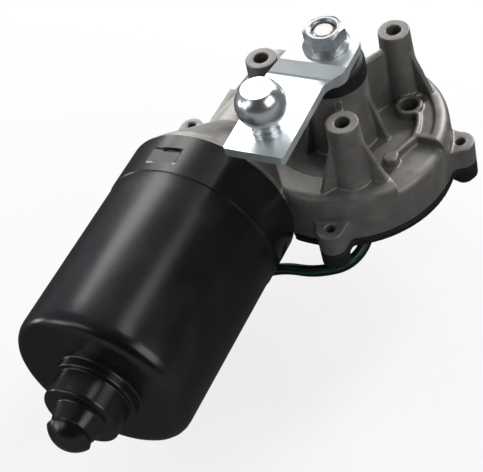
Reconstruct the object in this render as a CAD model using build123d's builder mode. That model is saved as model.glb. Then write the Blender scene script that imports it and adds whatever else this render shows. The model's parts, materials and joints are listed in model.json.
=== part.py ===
from build123d import *
from math import atan, cos, degrees, isclose, pi, radians, sin, sqrt, tan
import os

# Wiper motor: a two-pole motor drives a worm, the worm drives a moulded wheel,
# and the wheel's shaft carries the crank arm with its ball stud.
# Origin: output shaft axis at the mounting plane (the tops of the three posts).
# +Z runs along the output shaft, out of the gearbox. The motor lies along X,
# with its nose at -X. Every height below is counted from the joint plane
# between the gear housing and its cover.

# ---------- driving dimensions, millimetres and degrees ----------

# gear train
gear_module = 1.25
wheel_teeth = 48
worm_pitch_d = 10.0
pressure_angle = 20.0
tooth_backlash = 0.16
tooth_addendum = 1.05
tooth_dedendum = 1.4
tooth_overrun = 0.2
wheel_width = 8.0
wheel_rim = 4.0
wheel_web_inset = 2.0
wheel_hub_r = 11.0
worm_length = 24.0
worm_relief = 1.5
thread_sink = 0.3

# heights above the joint plane
mount_height = 43.0
motor_height = 8.7
gap_over_wheel = 0.6
ledge_height = 15.3
rim_height = 18.5
column_height = 40.0
arm_rise = 10.2
ball_rise = 11.2

# gear housing
case_wall = 4.2
case_draft = 0.6
shoulder_r = 3.6
wheel_clearance = 0.75
post_circle_r = 25.7
post_count = 3
post_first_angle = 90.0
post_top_r = 5.3
post_foot_r = 6.4
post_hole_r = 2.5
post_hole_depth = 18.0
gusset_reach = 13.0
gusset_top_drop = 6.0
gusset_angle = 68.0
gusset_t = 2.0
column_top_r = 10.8
column_foot_r = 12.4
fin_reach = 16.5
fin_t = 2.0
fin_drop = 2.0
web_t = 2.4
tube_x = 13.3
tube_y = -18.7
tube_r = 4.6
tube_bore_r = 3.1
tube_height = 19.2
land_r = 24.5
land_edge = 1.6
land_recess = 0.8
ledge_from = 232.0
ledge_to = 270.0
tray_from = 274.0
tray_to = 314.0
chord_rib_t = 1.8
chord_rib_from = (0.6, -25.6)
chord_rib_to = (-10.5, -21.2)
chord_pad_r = 2.9
ear_reach = 2.2
ear_r = 4.8
ear_height = 8.5
ear_root_length = 7.0
ear_root_half = 7.5
ear_angles = (194.0, 286.0, 18.0)
ear_hole_r = 1.65
tunnel_r = 15.0
tunnel_end_gap = 4.0
tunnel_end_r = 11.5
tunnel_rib_t = 2.4
tunnel_rib_y = 43.5
tunnel_rib_height = 21.0
tunnel_rib_from_x = -16.0
tunnel_rib_to_x = 5.0
rib_sink = 1.0
rib_bite = 0.3

# flange and bell between the gearbox and the motor can
flange_t = 1.2
flange_r = 29.3
bell_r = 28.5
bell_face_gap = 3.4
bell_end_x = -12.0
spigot_length = 11.0
spigot_wall = 3.0
bell_depth = 5.0
earth_x = -18.5
earth_y = 47.5
earth_boss_r = 3.8
earth_boss_length = 8.0
earth_boss_height = 24.6
earth_hole_r = 1.4
earth_hole_depth = 8.0

# motor can
can_r = 30.0
can_wall = 1.8
can_fit = 0.15
can_rim_step = 0.3
can_rim_length = 16.4
can_length = 80.0
can_shoulder_r = 5.0
drum_base_r = 14.3
drum_base_length = 3.4
drum_r = 12.7
drum_length = 12.0
drum_fillet_r = 1.3
nose_root_r = 8.8
nose_waist_r = 6.9
nose_waist_reach = 5.3
nose_bead_r = 7.4
nose_bead_reach = 7.0
nose_length = 11.1
tab_angles = (78.5, 198.5, 318.5)
tab_width = 12.0
tab_length = 6.4
tab_depth = 0.6
tab_slit = 0.9
tab_slit_width = 6.6
tab_slit_shift = 2.0
tab_rim_gap = 6.0

# armature
shaft_r = 4.0
shaft_rear_reach = 5.5
shaft_front_reach = 1.5
shaft_chamfer = 0.6
core_r = 22.4
core_inset = 3.0
core_length = 40.0
core_slots = 12
slot_mouth = 2.0
tooth_half = 1.6
slot_floor_r = 10.0
slot_roof_r = 20.6
winding_r = 20.0
winding_inner_r = 8.0
winding_rear_length = 7.0
winding_front_length = 9.0
winding_gap = 0.5
winding_chamfer = 3.0
commutator_r = 10.5
commutator_wall = 2.4
commutator_reach = 3.5
commutator_length = 15.0
commutator_gap = 0.6
bar_setback = 1.0
riser_length = 2.5
riser_r = 12.0
magnet_air_gap = 0.8
magnet_arc = 126.0
magnet_rear_gap = 9.0
magnet_length = 50.0
magnet_clip_t = 1.0
magnet_clip_inset = 4.0
magnet_clip_core_gap = 1.6

# bearings
running_gap = 0.03
bush_sphere_r = 7.9
bush_length = 9.0
rear_bush_inset = 5.5
front_bush_gap = 6.5
front_bush_seat_gap = 0.05
clip_t = 0.6
clip_inner_r = 7.55
clip_inner_reach = 2.5
clip_outer_reach = 1.2
clip_slots = 6
clip_slot_length = 2.6
clip_slot_width = 1.4
clip_slot_overrun = 1.0
front_clip_r = 11.0
felt_length = 4.0
felt_gap = 0.1
button_nib_r = 1.3
end_bush_gap = 1.0
end_bush_length = 9.0
end_bush_r = 7.0
worm_bore_gap = 1.0
thrust_gap = 0.1
thrust_screw_r = 4.0
thrust_screw_length = 8.0
thrust_slot_width = 1.2
thrust_slot_depth = 1.6
lock_nut_af = 13.0
lock_nut_t = 4.0

# brush gear
card_t = 2.0
card_r = 27.6
card_bore_r = 13.2
brush_angles = {"low": 0.0, "common": 180.0, "high": 300.0}
brush_length = 8.0
brush_width = 5.0
brush_axial = 6.0
brush_gap = 0.06
brush_contact_gap = 0.05
holder_wall = 0.6
holder_inner_r = 12.5
holder_outer_r = 24.6
holder_slot_width = 1.4
holder_slot_length = 8.0
spring_wire = 0.5
spring_turns = 4
spring_r = 1.8
card_screw_r = 1.5
card_screw_head_r = 2.8
card_screw_head_t = 2.0
card_screw_circle_r = 22.6
card_screw_angle = 60.0
card_screw_length = 9.0
card_boss_r = 3.2
screw_slot_width = 0.8
screw_slot_depth = 1.0
choke_angles = (100.0, 140.0)
choke_circle_r = 20.5
choke_r = 3.0
choke_length = 10.0
choke_core_r = 1.4
choke_core_length = 13.0
choke_leg_r = 0.5
choke_leg_inset = 0.7

# output shaft stack
output_r = 6.0
output_foot_height = 3.4
bush_wall = 2.5
lower_bush_length = 10.0
upper_bush_length = 10.0
washer_t = 0.5
washer_r = 8.8
washer_gap = 0.1
washer_bore_gap = 0.05
hub_washer_r = 10.5
circlip_t = 1.0
circlip_depth = 0.5
circlip_r = 8.0
circlip_open = 60.0
circlip_open_at = 250.0
taper_top_r = 5.0
taper_bottom_r = 5.7
thread_r = 4.0
thread_length = 6.2
thread_chamfer = 1.1
cap_r = 11.2
cap_wall = 1.8
cap_roof = 3.2
cap_arm_gap = 2.8
cap_bore_gap = 0.25
cap_round_r = 2.0

# crank
crank_angle = 173.0
strip_angle = 181.0
arm_t = 3.2
arm_drop = 3.4
arm_head_r = 10.6
arm_half_width = 10.25
strip_shift = 0.6
arm_end_reach = 10.4
bend_start = 8.3
bend_end = 12.1
arm_bend_r = 1.6
shoulder_reach = 9.9
shoulder_r = 3.2
neck_reach = 13.2
neck_r = 5.0
flare_reach = 9.0
flare_side = 12.6
flare_end_reach = 12.8
flare_r = 2.0
arm_corner_r = 1.2
ball_distance = 37.6
ball_r = 8.0
ball_flat_r = 5.1
stud_neck_r = 4.1
stud_collar_r = 4.7
stud_collar_t = 2.2
stud_shank_r = 5.0
rivet_head_r = 6.2
rivet_head_t = 1.2
nut_af = 12.0
nut_turn = 170.5
nut_height = 7.0
nut_flange_r = 7.8
nut_flange_t = 0.8
nut_skirt_t = 2.4
nut_crown_r = 5.4
nut_mouth_r = 4.6
nut_crown_angle = 30.0

# cover and parking switch
gasket_t = 0.8
cover_t = 2.6
cover_flat_gap = 0.4
cover_ear_drop = 3.0
chamber_x = 3.0
chamber_y = 2.0
chamber_r = 15.0
chamber_depth = 9.0
chamber_wall = 2.0
chamber_round_r = 2.0
screw_r = 1.6
screw_head_r = 3.6
screw_head_t = 2.0
cover_screw_length = 12.0
disc_t = 0.5
disc_outer_r = 21.0
disc_track_width = 2.4
disc_inner_r = 13.0
disc_gap_angle = 24.0
leaf_t = 0.3
leaf_width = 2.0
leaf_gap = 0.05
leaf_pitch = 2.6
leaf_tip_length = 2.0
leaf_slope_length = 12.0
leaf_foot_length = 4.0
plate_t = 1.4
plate_from_x = -20.0
plate_to_x = 5.0
plate_from_y = -22.5
plate_to_y = -6.0

# lead and plug
lead_angle = 216.5
lead_drop = 8.0
sleeve_r = 2.0
green_wire_r = 0.85
green_wire_rise = 3.15
grommet_r = 3.0
grommet_flange_r = 4.3
grommet_flange_t = 1.2
# points of the sleeve and of the green wire beside it, from the grommet to the plug:
# x, y, height over the joint plane
sleeve_route = (
    (-20.5, -15.4, -8.0),
    (-34.0, -13.0, -12.0),
    (-40.0, -1.5, -15.5),
    (-38.5, 11.0, -18.5),
    (-37.5, 23.0, -24.5),
    (-43.5, 33.5, -28.0),
    (-53.0, 38.0, -29.0),
    (-64.0, 38.0, -29.0),
)
green_route = (
    (-21.2, -16.1, -5.0),
    (-35.9, -14.0, -9.7),
    (-42.2, -1.4, -13.3),
    (-40.7, 11.9, -16.4),
    (-39.9, 23.3, -22.4),
    (-45.3, 32.3, -25.5),
    (-53.5, 36.4, -26.3),
    (-64.0, 36.5, -26.2),
)
bend_share = 0.45
plug_length = 20.0
plug_width = 14.0
plug_height = 9.0
plug_wall = 1.2
plug_depth = 10.0
plug_round_r = 1.2
latch_width = 5.0
latch_height = 1.2
latch_length = 6.0
blade_width = 2.8
blade_t = 0.8
blade_length = 8.0
blade_spacing_y = 5.2
blade_spacing_z = 3.2

# ---------- places worked out from the dimensions above ----------

joint_z = -mount_height
wheel_pitch_r = gear_module * wheel_teeth / 2
wheel_tip_r = wheel_pitch_r + tooth_addendum
wheel_root_r = wheel_pitch_r - tooth_dedendum
worm_tip_r = worm_pitch_d / 2 + tooth_addendum
worm_root_r = worm_pitch_d / 2 - tooth_dedendum
worm_pitch = pi * gear_module
lead_slope = atan(gear_module / worm_pitch_d)
motor_y = wheel_pitch_r + worm_pitch_d / 2
motor_z = joint_z + motor_height
wheel_low_z = motor_z - wheel_width / 2
wheel_top_z = motor_z + wheel_width / 2
ceiling_z = wheel_top_z + gap_over_wheel
ledge_z = joint_z + ledge_height
rim_z = joint_z + rim_height
column_top_z = joint_z + column_height
cavity_r = wheel_tip_r + wheel_clearance
arm_z = column_top_z + arm_rise
arm_top_z = arm_z + arm_t
arm_low_z = arm_z - arm_drop
arm_shelf_z = arm_low_z + arm_t
ball_z = arm_shelf_z + ball_rise
case_r = cavity_r + case_wall
ear_circle_r = case_r + ear_reach
worm_rear_x = -worm_length / 2
worm_front_x = worm_length / 2
front_bush_x = worm_rear_x - worm_relief - front_bush_gap - bush_length / 2
end_bush_x = worm_front_x + worm_relief + end_bush_gap + end_bush_length / 2
shaft_front_x = end_bush_x + end_bush_length / 2 + shaft_front_reach
tunnel_end_x = shaft_front_x + tunnel_end_gap
flange_x = -case_r
bell_face_x = flange_x + bell_face_gap
spigot_x = flange_x - spigot_length
card_x = spigot_x - card_t
commutator_rear_x = card_x - commutator_reach
can_end_x = flange_x - can_length
drum_end_x = can_end_x - drum_length
nose_waist_x = drum_end_x - nose_waist_reach
nose_bead_x = drum_end_x - nose_bead_reach
nose_tip_x = drum_end_x - nose_length
shaft_rear_x = drum_end_x - shaft_rear_reach
rear_bush_x = drum_end_x + rear_bush_inset
magnet_rear_x = can_end_x + magnet_rear_gap
magnet_front_x = magnet_rear_x + magnet_length
core_rear_x = magnet_rear_x + core_inset
core_front_x = core_rear_x + core_length
motor_axis = Axis((0, motor_y, motor_z), (1, 0, 0))
motor_side = Plane(origin=(0, motor_y, motor_z), x_dir=(1, 0, 0), z_dir=(0, -1, 0))


def across_motor(x):
    """A plane square to the motor axis, with its own X along +Y and Y along +Z."""
    return Plane(origin=(x, motor_y, motor_z), x_dir=(0, 1, 0), z_dir=(1, 0, 0))


def outward(angle, x, r=0):
    """A plane facing away from the motor axis at radius r, with its own X along +X.

    The angle runs about the motor axis from +Y toward +Z.
    """
    turn = radians(angle)
    facing = (0, cos(turn), sin(turn))
    place = (x, motor_y + r * cos(turn), motor_z + r * sin(turn))
    return Plane(origin=place, x_dir=(1, 0, 0), z_dir=facing)


def upright(angle, x=0, y=0):
    """A vertical plane through (x, y), with its own X turned by angle from +X and Y along +Z."""
    turn = radians(angle)
    return Plane(origin=(x, y, 0), x_dir=(cos(turn), sin(turn), 0), z_dir=(sin(turn), -cos(turn), 0))


def closed_outline(points):
    """Draws a closed outline through the points in the sketch that is open."""
    with BuildLine() as outline:
        Polyline(*points, close=True)
    make_face(outline.edges())


os.makedirs("parts", exist_ok=True)


def keep(part, name):
    part.label = name
    export_step(part, f"parts/{name}.step")


# ---------- gear housing ----------

post_places = [
    (post_circle_r, post_first_angle + 360 / post_count * i) for i in range(post_count)
]
bush_r = output_r + bush_wall
bell_floor_x = flange_x + bell_depth
can_inner_r = can_r - can_wall
spigot_r = can_inner_r - can_fit
spigot_inner_r = spigot_r - spigot_wall
worm_bore_r = worm_tip_r + worm_bore_gap
end_bush_front_x = end_bush_x + end_bush_length / 2
case_low_r = case_r - case_draft
ear_root = [
    (0, ear_r),
    (-ear_root_length, ear_root_half),
    (-ear_root_length, -ear_root_half),
    (0, -ear_r),
]


def case_outline(top_z):
    """Half section of the gear case wall and roof, with a rounded shoulder."""
    with BuildLine() as outline:
        side = Polyline((0, joint_z), (case_r, joint_z), (case_low_r, top_z - shoulder_r))
        bend = RadiusArc(side @ 1, (case_low_r - shoulder_r, top_z), -shoulder_r)
        Polyline(bend @ 1, (0, top_z), (0, joint_z))
    make_face(outline.edges())


with BuildPart() as gear_housing:
    # the case: high rim all round except for the lower ledge on one side
    with BuildSketch(upright(ledge_to)):
        case_outline(rim_z)
    revolve(axis=Axis.Z, revolution_arc=360 - (ledge_to - ledge_from))
    with BuildSketch(upright(ledge_from)):
        case_outline(ledge_z)
    revolve(axis=Axis.Z, revolution_arc=ledge_to - ledge_from)
    # the sunk floor between the rim and the centre column
    with BuildSketch(Plane.XY.offset(ledge_z)):
        Circle(land_r)
    extrude(amount=rim_height - ledge_height, mode=Mode.SUBTRACT)
    # the shallow tray in the land beside the ledge
    tray_mid_r = (land_r + case_low_r - shoulder_r) / 2
    with BuildSketch(Plane.XY.offset(rim_z)):
        with BuildLine():
            CenterArc((0, 0), tray_mid_r, tray_from, tray_to - tray_from)
        trace(line_width=case_low_r - shoulder_r - land_r - 2 * land_edge)
    extrude(amount=-land_recess, mode=Mode.SUBTRACT)
    # the straight rib that closes the sunk floor along the ledge
    with BuildSketch(Plane.XY.offset(ceiling_z)):
        with BuildLine():
            Line(chord_rib_from, chord_rib_to)
        trace(line_width=chord_rib_t)
        with Locations(chord_rib_to):
            RegularPolygon(chord_pad_r, 6)
    extrude(amount=rim_z - ceiling_z)
    # worm tunnel and bell on the motor axis
    with BuildSketch(motor_side):
        closed_outline(
            [
                (flange_x, 0),
                (flange_x, flange_r),
                (flange_x + flange_t, flange_r),
                (flange_x + flange_t, bell_r),
                (bell_face_x, bell_r),
                (bell_end_x, tunnel_r),
                (tunnel_end_x, tunnel_end_r),
                (tunnel_end_x, 0),
            ]
        )
    revolve(axis=motor_axis)
    with BuildSketch(Plane.XY.offset(motor_z)):
        with Locations((tunnel_rib_from_x, tunnel_rib_y)):
            Rectangle(
                tunnel_rib_to_x - tunnel_rib_from_x, tunnel_rib_t, align=(Align.MIN, Align.CENTER)
            )
    extrude(amount=tunnel_rib_height - motor_height)
    with BuildSketch(Plane.XY.offset(motor_z)):
        with Locations((earth_x, earth_y)):
            Circle(earth_boss_r)
            Rectangle(earth_boss_length, 2 * earth_boss_r, align=(Align.MAX, Align.CENTER))
    extrude(amount=earth_boss_height - motor_height)
    # room below the joint plane for the cover and its gasket
    with BuildSketch(Plane.XY.offset(joint_z)):
        Circle(case_r + cover_flat_gap)
        with Locations((bell_face_x, 0)):
            Rectangle(
                2 * case_r, 4 * case_r, align=(Align.MAX, Align.CENTER), mode=Mode.SUBTRACT
            )
    extrude(amount=-case_r, mode=Mode.SUBTRACT)
    # centre column with its fins
    with BuildSketch(Plane.XZ):
        closed_outline(
            [
                (0, ceiling_z),
                (column_foot_r, ceiling_z),
                (column_foot_r, ledge_z),
                (column_top_r, column_top_z),
                (0, column_top_z),
            ]
        )
    revolve(axis=Axis.Z)
    for post_r, post_angle in post_places:
        with BuildSketch(upright(post_angle + 180)):
            closed_outline(
                [
                    (0, ledge_z - rib_sink),
                    (fin_reach, ledge_z - rib_sink),
                    (fin_reach, ledge_z),
                    (column_top_r - rib_bite, column_top_z - fin_drop),
                    (0, column_top_z - fin_drop),
                ]
            )
        extrude(amount=fin_t / 2, both=True)
    # upright webs that tie the column to the posts
    with BuildSketch(Plane.XY.offset(ledge_z - rib_sink)):
        for post_r, post_angle in post_places:
            with Locations(Rotation(0, 0, post_angle)):
                Rectangle(post_r, web_t, align=(Align.MIN, Align.CENTER))
    extrude(amount=column_top_z - fin_drop - ledge_z + rib_sink)
    # mounting posts, each with two gussets that follow the rim
    for post_r, post_angle in post_places:
        post_x = post_r * cos(radians(post_angle))
        post_y = post_r * sin(radians(post_angle))
        post_plane = Plane(origin=(post_x, post_y, ceiling_z))
        post_length = -ceiling_z
        with BuildSketch(post_plane):
            Circle(post_foot_r)
        extrude(amount=post_length, taper=degrees(atan((post_foot_r - post_top_r) / post_length)))
        for side in (-1, 1):
            turn = post_angle + side * gusset_angle
            with BuildSketch(upright(turn, post_x, post_y)):
                closed_outline(
                    [
                        (0, ledge_z - rib_sink),
                        (gusset_reach, ledge_z - rib_sink),
                        (gusset_reach, ledge_z),
                        (post_top_r - rib_bite, -gusset_top_drop),
                        (0, -gusset_top_drop),
                    ]
                )
            extrude(amount=gusset_t / 2, both=True)
    # breather tube
    with BuildSketch(Plane.XY.offset(ceiling_z)):
        with Locations((tube_x, tube_y)):
            Circle(tube_r)
    extrude(amount=joint_z + tube_height - ceiling_z)
    # ears for the cover screws
    for ear_angle in ear_angles:
        with BuildSketch(Plane.XY.offset(joint_z).rotated((0, 0, ear_angle))):
            with Locations((ear_circle_r, 0)):
                Circle(ear_r)
                Polygon(*ear_root, align=None)
        extrude(amount=ear_height)
    # spigot that the can slides over
    with BuildSketch(across_motor(spigot_x)):
        Circle(spigot_r)
    extrude(amount=spigot_length)
    # hollows: wheel room, bell, bearing seats, worm bore
    with BuildSketch(Plane.XY.offset(joint_z)):
        Circle(cavity_r)
    extrude(amount=ceiling_z - joint_z, mode=Mode.SUBTRACT)
    with BuildSketch(motor_side):
        closed_outline(
            [
                (spigot_x, 0),
                (spigot_x, spigot_inner_r),
                (bell_floor_x, spigot_inner_r),
                (bell_floor_x, front_clip_r),
                (front_bush_x - clip_outer_reach, front_clip_r),
                (front_bush_x - clip_outer_reach, bush_sphere_r + front_bush_seat_gap),
                (front_bush_x + bush_length / 2, bush_sphere_r + front_bush_seat_gap),
                (front_bush_x + bush_length / 2, worm_bore_r),
                (end_bush_x - end_bush_length / 2, worm_bore_r),
                (end_bush_x - end_bush_length / 2, end_bush_r),
                (end_bush_front_x, end_bush_r),
                (end_bush_front_x, thrust_screw_r),
                (tunnel_end_x, thrust_screw_r),
                (tunnel_end_x, 0),
            ]
        )
    revolve(axis=motor_axis, mode=Mode.SUBTRACT)
    # bosses inside the bell for the brush card's screws
    with BuildSketch(across_motor(spigot_x)):
        with PolarLocations(card_screw_circle_r, 2, start_angle=card_screw_angle):
            Circle(card_boss_r)
    extrude(amount=bell_floor_x - spigot_x)
    with BuildSketch(across_motor(spigot_x)):
        with PolarLocations(card_screw_circle_r, 2, start_angle=card_screw_angle):
            Circle(card_screw_r)
    extrude(amount=card_screw_length - card_t, mode=Mode.SUBTRACT)
    # bores along the output axis and holes from above
    with BuildSketch(Plane.XY.offset(ceiling_z)):
        Circle(bush_r)
    extrude(amount=column_top_z - ceiling_z, mode=Mode.SUBTRACT)
    with BuildSketch(Plane.XY):
        with PolarLocations(post_circle_r, post_count, start_angle=post_first_angle):
            Circle(post_hole_r)
    extrude(amount=-post_hole_depth, mode=Mode.SUBTRACT)
    with BuildSketch(Plane.XY.offset(joint_z + tube_height)):
        with Locations((tube_x, tube_y)):
            Circle(tube_bore_r)
    extrude(amount=ceiling_z - joint_z - tube_height, mode=Mode.SUBTRACT)
    for ear_angle in ear_angles:
        with BuildSketch(Plane.XY.offset(joint_z).rotated((0, 0, ear_angle))):
            with Locations((ear_circle_r, 0)):
                Circle(ear_hole_r)
        extrude(amount=ear_height, mode=Mode.SUBTRACT)
    with BuildSketch(Plane.XY.offset(joint_z + earth_boss_height)):
        with Locations((earth_x, earth_y)):
            Circle(earth_hole_r)
    extrude(amount=-earth_hole_depth, mode=Mode.SUBTRACT)
keep(gear_housing.part, "gear_housing")


# ---------- worm and armature ----------

thread_depth = worm_tip_r - worm_root_r
thread_half = worm_pitch / 4 - tooth_backlash / 4
flank = tan(radians(pressure_angle))

with BuildPart() as armature_shaft:
    with BuildSketch(across_motor(shaft_rear_x)):
        Circle(shaft_r)
    extrude(amount=worm_rear_x - worm_relief - shaft_rear_x)
    with BuildSketch(across_motor(worm_rear_x - worm_relief)):
        Circle(worm_root_r)
    extrude(amount=worm_length + 2 * worm_relief)
    with BuildSketch(across_motor(worm_front_x + worm_relief)):
        Circle(shaft_r)
    extrude(amount=shaft_front_x - worm_front_x - worm_relief)
    chamfer(armature_shaft.edges().sort_by(Axis.X)[0], shaft_chamfer)
    chamfer(armature_shaft.edges().sort_by(Axis.X)[-1], shaft_chamfer)
    # the thread crosses the side that faces the wheel at x = 0, midway along the worm
    thread_turns = 2 * round(worm_length / worm_pitch / 2)
    with BuildLine() as thread_path:
        Helix(
            pitch=worm_pitch,
            height=worm_pitch * thread_turns,
            radius=worm_root_r,
            center=(-worm_pitch * (thread_turns / 2 + 1 / 4), motor_y, motor_z),
            direction=(1, 0, 0),
        )
    thread_start = thread_path.line @ 0
    with BuildSketch(Plane(origin=thread_start, x_dir=(0, 0, 1), z_dir=thread_path.line % 0)):
        closed_outline(
            [
                (-thread_sink, -thread_half - flank * (tooth_dedendum + thread_sink)),
                (-thread_sink, thread_half + flank * (tooth_dedendum + thread_sink)),
                (thread_depth, thread_half - flank * tooth_addendum),
                (thread_depth, -thread_half + flank * tooth_addendum),
            ]
        )
    sweep(path=thread_path.line, is_frenet=True)
keep(armature_shaft.part, "armature_shaft")


slot_low_half = slot_floor_r * tan(pi / core_slots) - tooth_half
slot_high_half = slot_roof_r * tan(pi / core_slots) - tooth_half
slot_corners = [
    (slot_floor_r, -slot_low_half),
    (slot_roof_r, -slot_high_half),
    (slot_roof_r, slot_high_half),
    (slot_floor_r, slot_low_half),
]

with BuildPart() as armature_core:
    with BuildSketch(across_motor(core_rear_x)):
        Circle(core_r)
        Circle(shaft_r, mode=Mode.SUBTRACT)
        with PolarLocations(0, core_slots):
            Polygon(*slot_corners, align=None, mode=Mode.SUBTRACT)
        with PolarLocations(core_r, core_slots):
            Rectangle(4 * (core_r - slot_roof_r), slot_mouth, mode=Mode.SUBTRACT)
    extrude(amount=core_front_x - core_rear_x)
keep(armature_core.part, "armature_core")

with BuildPart() as windings:
    # copper in the slots, and the two overhangs that join it
    with BuildSketch(across_motor(core_rear_x - winding_gap)):
        with PolarLocations(0, core_slots):
            Polygon(*slot_corners, align=None)
    extrude(amount=core_front_x - core_rear_x + 2 * winding_gap)
    with BuildSketch(motor_side) as windings_profile:
        for end_x, length, align in (
            (core_rear_x - winding_gap, winding_rear_length, Align.MAX),
            (core_front_x + winding_gap, winding_front_length, Align.MIN),
        ):
            with Locations((end_x, winding_inner_r)):
                Rectangle(length, winding_r - winding_inner_r, align=(align, Align.MIN))
        chamfer(windings_profile.vertices(), winding_chamfer)
    revolve(axis=motor_axis)
keep(windings.part, "windings")

bars_inner_r = commutator_r - commutator_wall
commutator_front_x = commutator_rear_x + commutator_length
with BuildPart() as commutator_hub:
    with BuildSketch(across_motor(commutator_rear_x)):
        Circle(bars_inner_r)
        Circle(shaft_r, mode=Mode.SUBTRACT)
    extrude(amount=commutator_length)
keep(commutator_hub.part, "commutator_hub")

with BuildPart() as commutator_bars:
    with BuildSketch(motor_side):
        closed_outline(
            [
                (commutator_rear_x, bars_inner_r),
                (commutator_rear_x, riser_r),
                (commutator_rear_x + riser_length, riser_r),
                (commutator_rear_x + riser_length, commutator_r),
                (commutator_front_x - bar_setback, commutator_r),
                (commutator_front_x - bar_setback, bars_inner_r),
            ]
        )
    revolve(axis=motor_axis)
    with BuildSketch(across_motor(commutator_rear_x)):
        with PolarLocations(0, core_slots, start_angle=180 / core_slots):
            Rectangle(2 * riser_r, commutator_gap, align=(Align.MIN, Align.CENTER))
    extrude(amount=commutator_length, mode=Mode.SUBTRACT)
keep(commutator_bars.part, "commutator_bars")

# ---------- motor can, magnets and rear bearing ----------

drum_inner_r = drum_r - can_wall
rim_step_x = flange_x - can_rim_length
dome_r = (nose_bead_r**2 + (nose_bead_x - nose_tip_x) ** 2) / (2 * (nose_bead_x - nose_tip_x))
dome_x = nose_tip_x + dome_r
dome_inner_r = dome_r - can_wall
nose_bore_x = drum_end_x + can_wall
waist_inner_r = nose_waist_r - can_wall
root_inner_r = nose_root_r - can_wall

with BuildPart() as motor_can:
    with BuildSketch(motor_side):
        with BuildLine() as can_outer:
            rim = Polyline(
                (flange_x, 0),
                (flange_x, can_r + can_rim_step),
                (rim_step_x + can_rim_step, can_r + can_rim_step),
                (rim_step_x, can_r),
                (can_end_x + can_shoulder_r, can_r),
            )
            shoulder = RadiusArc(rim @ 1, (can_end_x, can_r - can_shoulder_r), -can_shoulder_r)
            steps = Polyline(
                shoulder @ 1,
                (can_end_x, drum_base_r),
                (can_end_x - drum_base_length, drum_base_r),
                (can_end_x - drum_base_length, drum_r),
                (drum_end_x, drum_r),
                (drum_end_x, nose_root_r),
                (nose_waist_x, nose_waist_r),
                (nose_bead_x, nose_bead_r),
            )
            tip = RadiusArc(steps @ 1, (nose_tip_x, 0), -dome_r)
            Line(tip @ 1, (flange_x, 0))
        make_face()
    revolve(axis=motor_axis)
    for step_r in (drum_base_r, drum_r):
        rounds = motor_can.edges().filter_by(GeomType.CIRCLE)
        rounds = rounds.filter_by(lambda edge: isclose(edge.radius, step_r, rel_tol=1e-6))
        fillet(rounds.sort_by(Axis.X)[0], drum_fillet_r)
    with BuildSketch(motor_side):
        with BuildLine() as can_inner:
            wall = Polyline(
                (flange_x, 0),
                (flange_x, can_inner_r),
                (can_end_x + can_shoulder_r, can_inner_r),
            )
            corner = RadiusArc(
                wall @ 1,
                (can_end_x + can_wall, can_r - can_shoulder_r),
                -(can_shoulder_r - can_wall),
            )
            seat = Polyline(
                corner @ 1,
                (can_end_x + can_wall, drum_inner_r),
                (nose_bore_x, drum_inner_r),
                (nose_bore_x, root_inner_r),
                (nose_waist_x, waist_inner_r),
                (nose_bead_x, sqrt(dome_inner_r**2 - (nose_bead_x - dome_x) ** 2)),
            )
            dome = RadiusArc(seat @ 1, (dome_x - dome_inner_r, 0), -dome_inner_r)
            Line(dome @ 1, (flange_x, 0))
        make_face()
    revolve(axis=motor_axis, mode=Mode.SUBTRACT)
    # lanced tabs that lock the rim over the spigot
    tab_x = flange_x - tab_rim_gap
    for tab_angle in tab_angles:
        with BuildSketch(outward(tab_angle, tab_x, can_r + can_rim_step - tab_depth)):
            Rectangle(tab_length, tab_width, align=(Align.MAX, Align.CENTER))
        extrude(amount=2 * tab_depth, mode=Mode.SUBTRACT)
        with BuildSketch(outward(tab_angle, tab_x, can_inner_r - tab_slit)):
            with Locations((0, -tab_slit_shift)):
                Rectangle(tab_slit, tab_slit_width, align=(Align.MAX, Align.CENTER))
        extrude(amount=can_wall, mode=Mode.SUBTRACT)
keep(motor_can.part, "motor_can")

magnet_inner_r = core_r + magnet_air_gap
for magnet_name, magnet_angle in (("magnet_upper", 90), ("magnet_lower", 270)):
    with BuildPart() as magnet:
        with BuildSketch(across_motor(magnet_rear_x)):
            with BuildLine():
                CenterArc(
                    (0, 0),
                    (magnet_inner_r + can_inner_r) / 2,
                    magnet_angle - magnet_arc / 2,
                    magnet_arc,
                )
            trace(line_width=can_inner_r - magnet_inner_r)
        extrude(amount=magnet_front_x - magnet_rear_x)
    keep(magnet.part, magnet_name)

with BuildPart() as magnet_clips:
    # two U-shaped springs, one in each gap between the magnets
    gap_half = (180 - magnet_arc) / 2
    magnet_clip_leg_r = core_r + magnet_clip_core_gap
    leg_length = can_inner_r - magnet_clip_leg_r - magnet_clip_t / 2
    with BuildSketch(across_motor(magnet_rear_x + magnet_clip_inset)):
        for side_angle in (0, 180):
            with BuildLine():
                CenterArc(
                    (0, 0),
                    can_inner_r - magnet_clip_t / 2,
                    side_angle - gap_half,
                    2 * gap_half,
                )
            trace(line_width=magnet_clip_t)
        with PolarLocations(magnet_clip_leg_r, 2, start_angle=gap_half):
            Rectangle(leg_length, magnet_clip_t, align=(Align.MIN, Align.MAX))
        with PolarLocations(magnet_clip_leg_r, 2, start_angle=-gap_half):
            Rectangle(leg_length, magnet_clip_t, align=(Align.MIN, Align.MIN))
    extrude(amount=magnet_front_x - magnet_rear_x - 2 * magnet_clip_inset)
keep(magnet_clips.part, "magnet_clips")


def bush_section(middle_x):
    """Half section of a self-aligning bush: a ball with flat ends and a plain bore."""
    reach = bush_length / 2
    end_r = sqrt(bush_sphere_r**2 - reach**2)
    with BuildLine() as outline:
        Line((middle_x - reach, bore_r), (middle_x - reach, end_r))
        ThreePointArc(
            (middle_x - reach, end_r), (middle_x, bush_sphere_r), (middle_x + reach, end_r)
        )
        Polyline(
            (middle_x + reach, end_r), (middle_x + reach, bore_r), (middle_x - reach, bore_r)
        )
    make_face(outline.edges())


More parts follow.
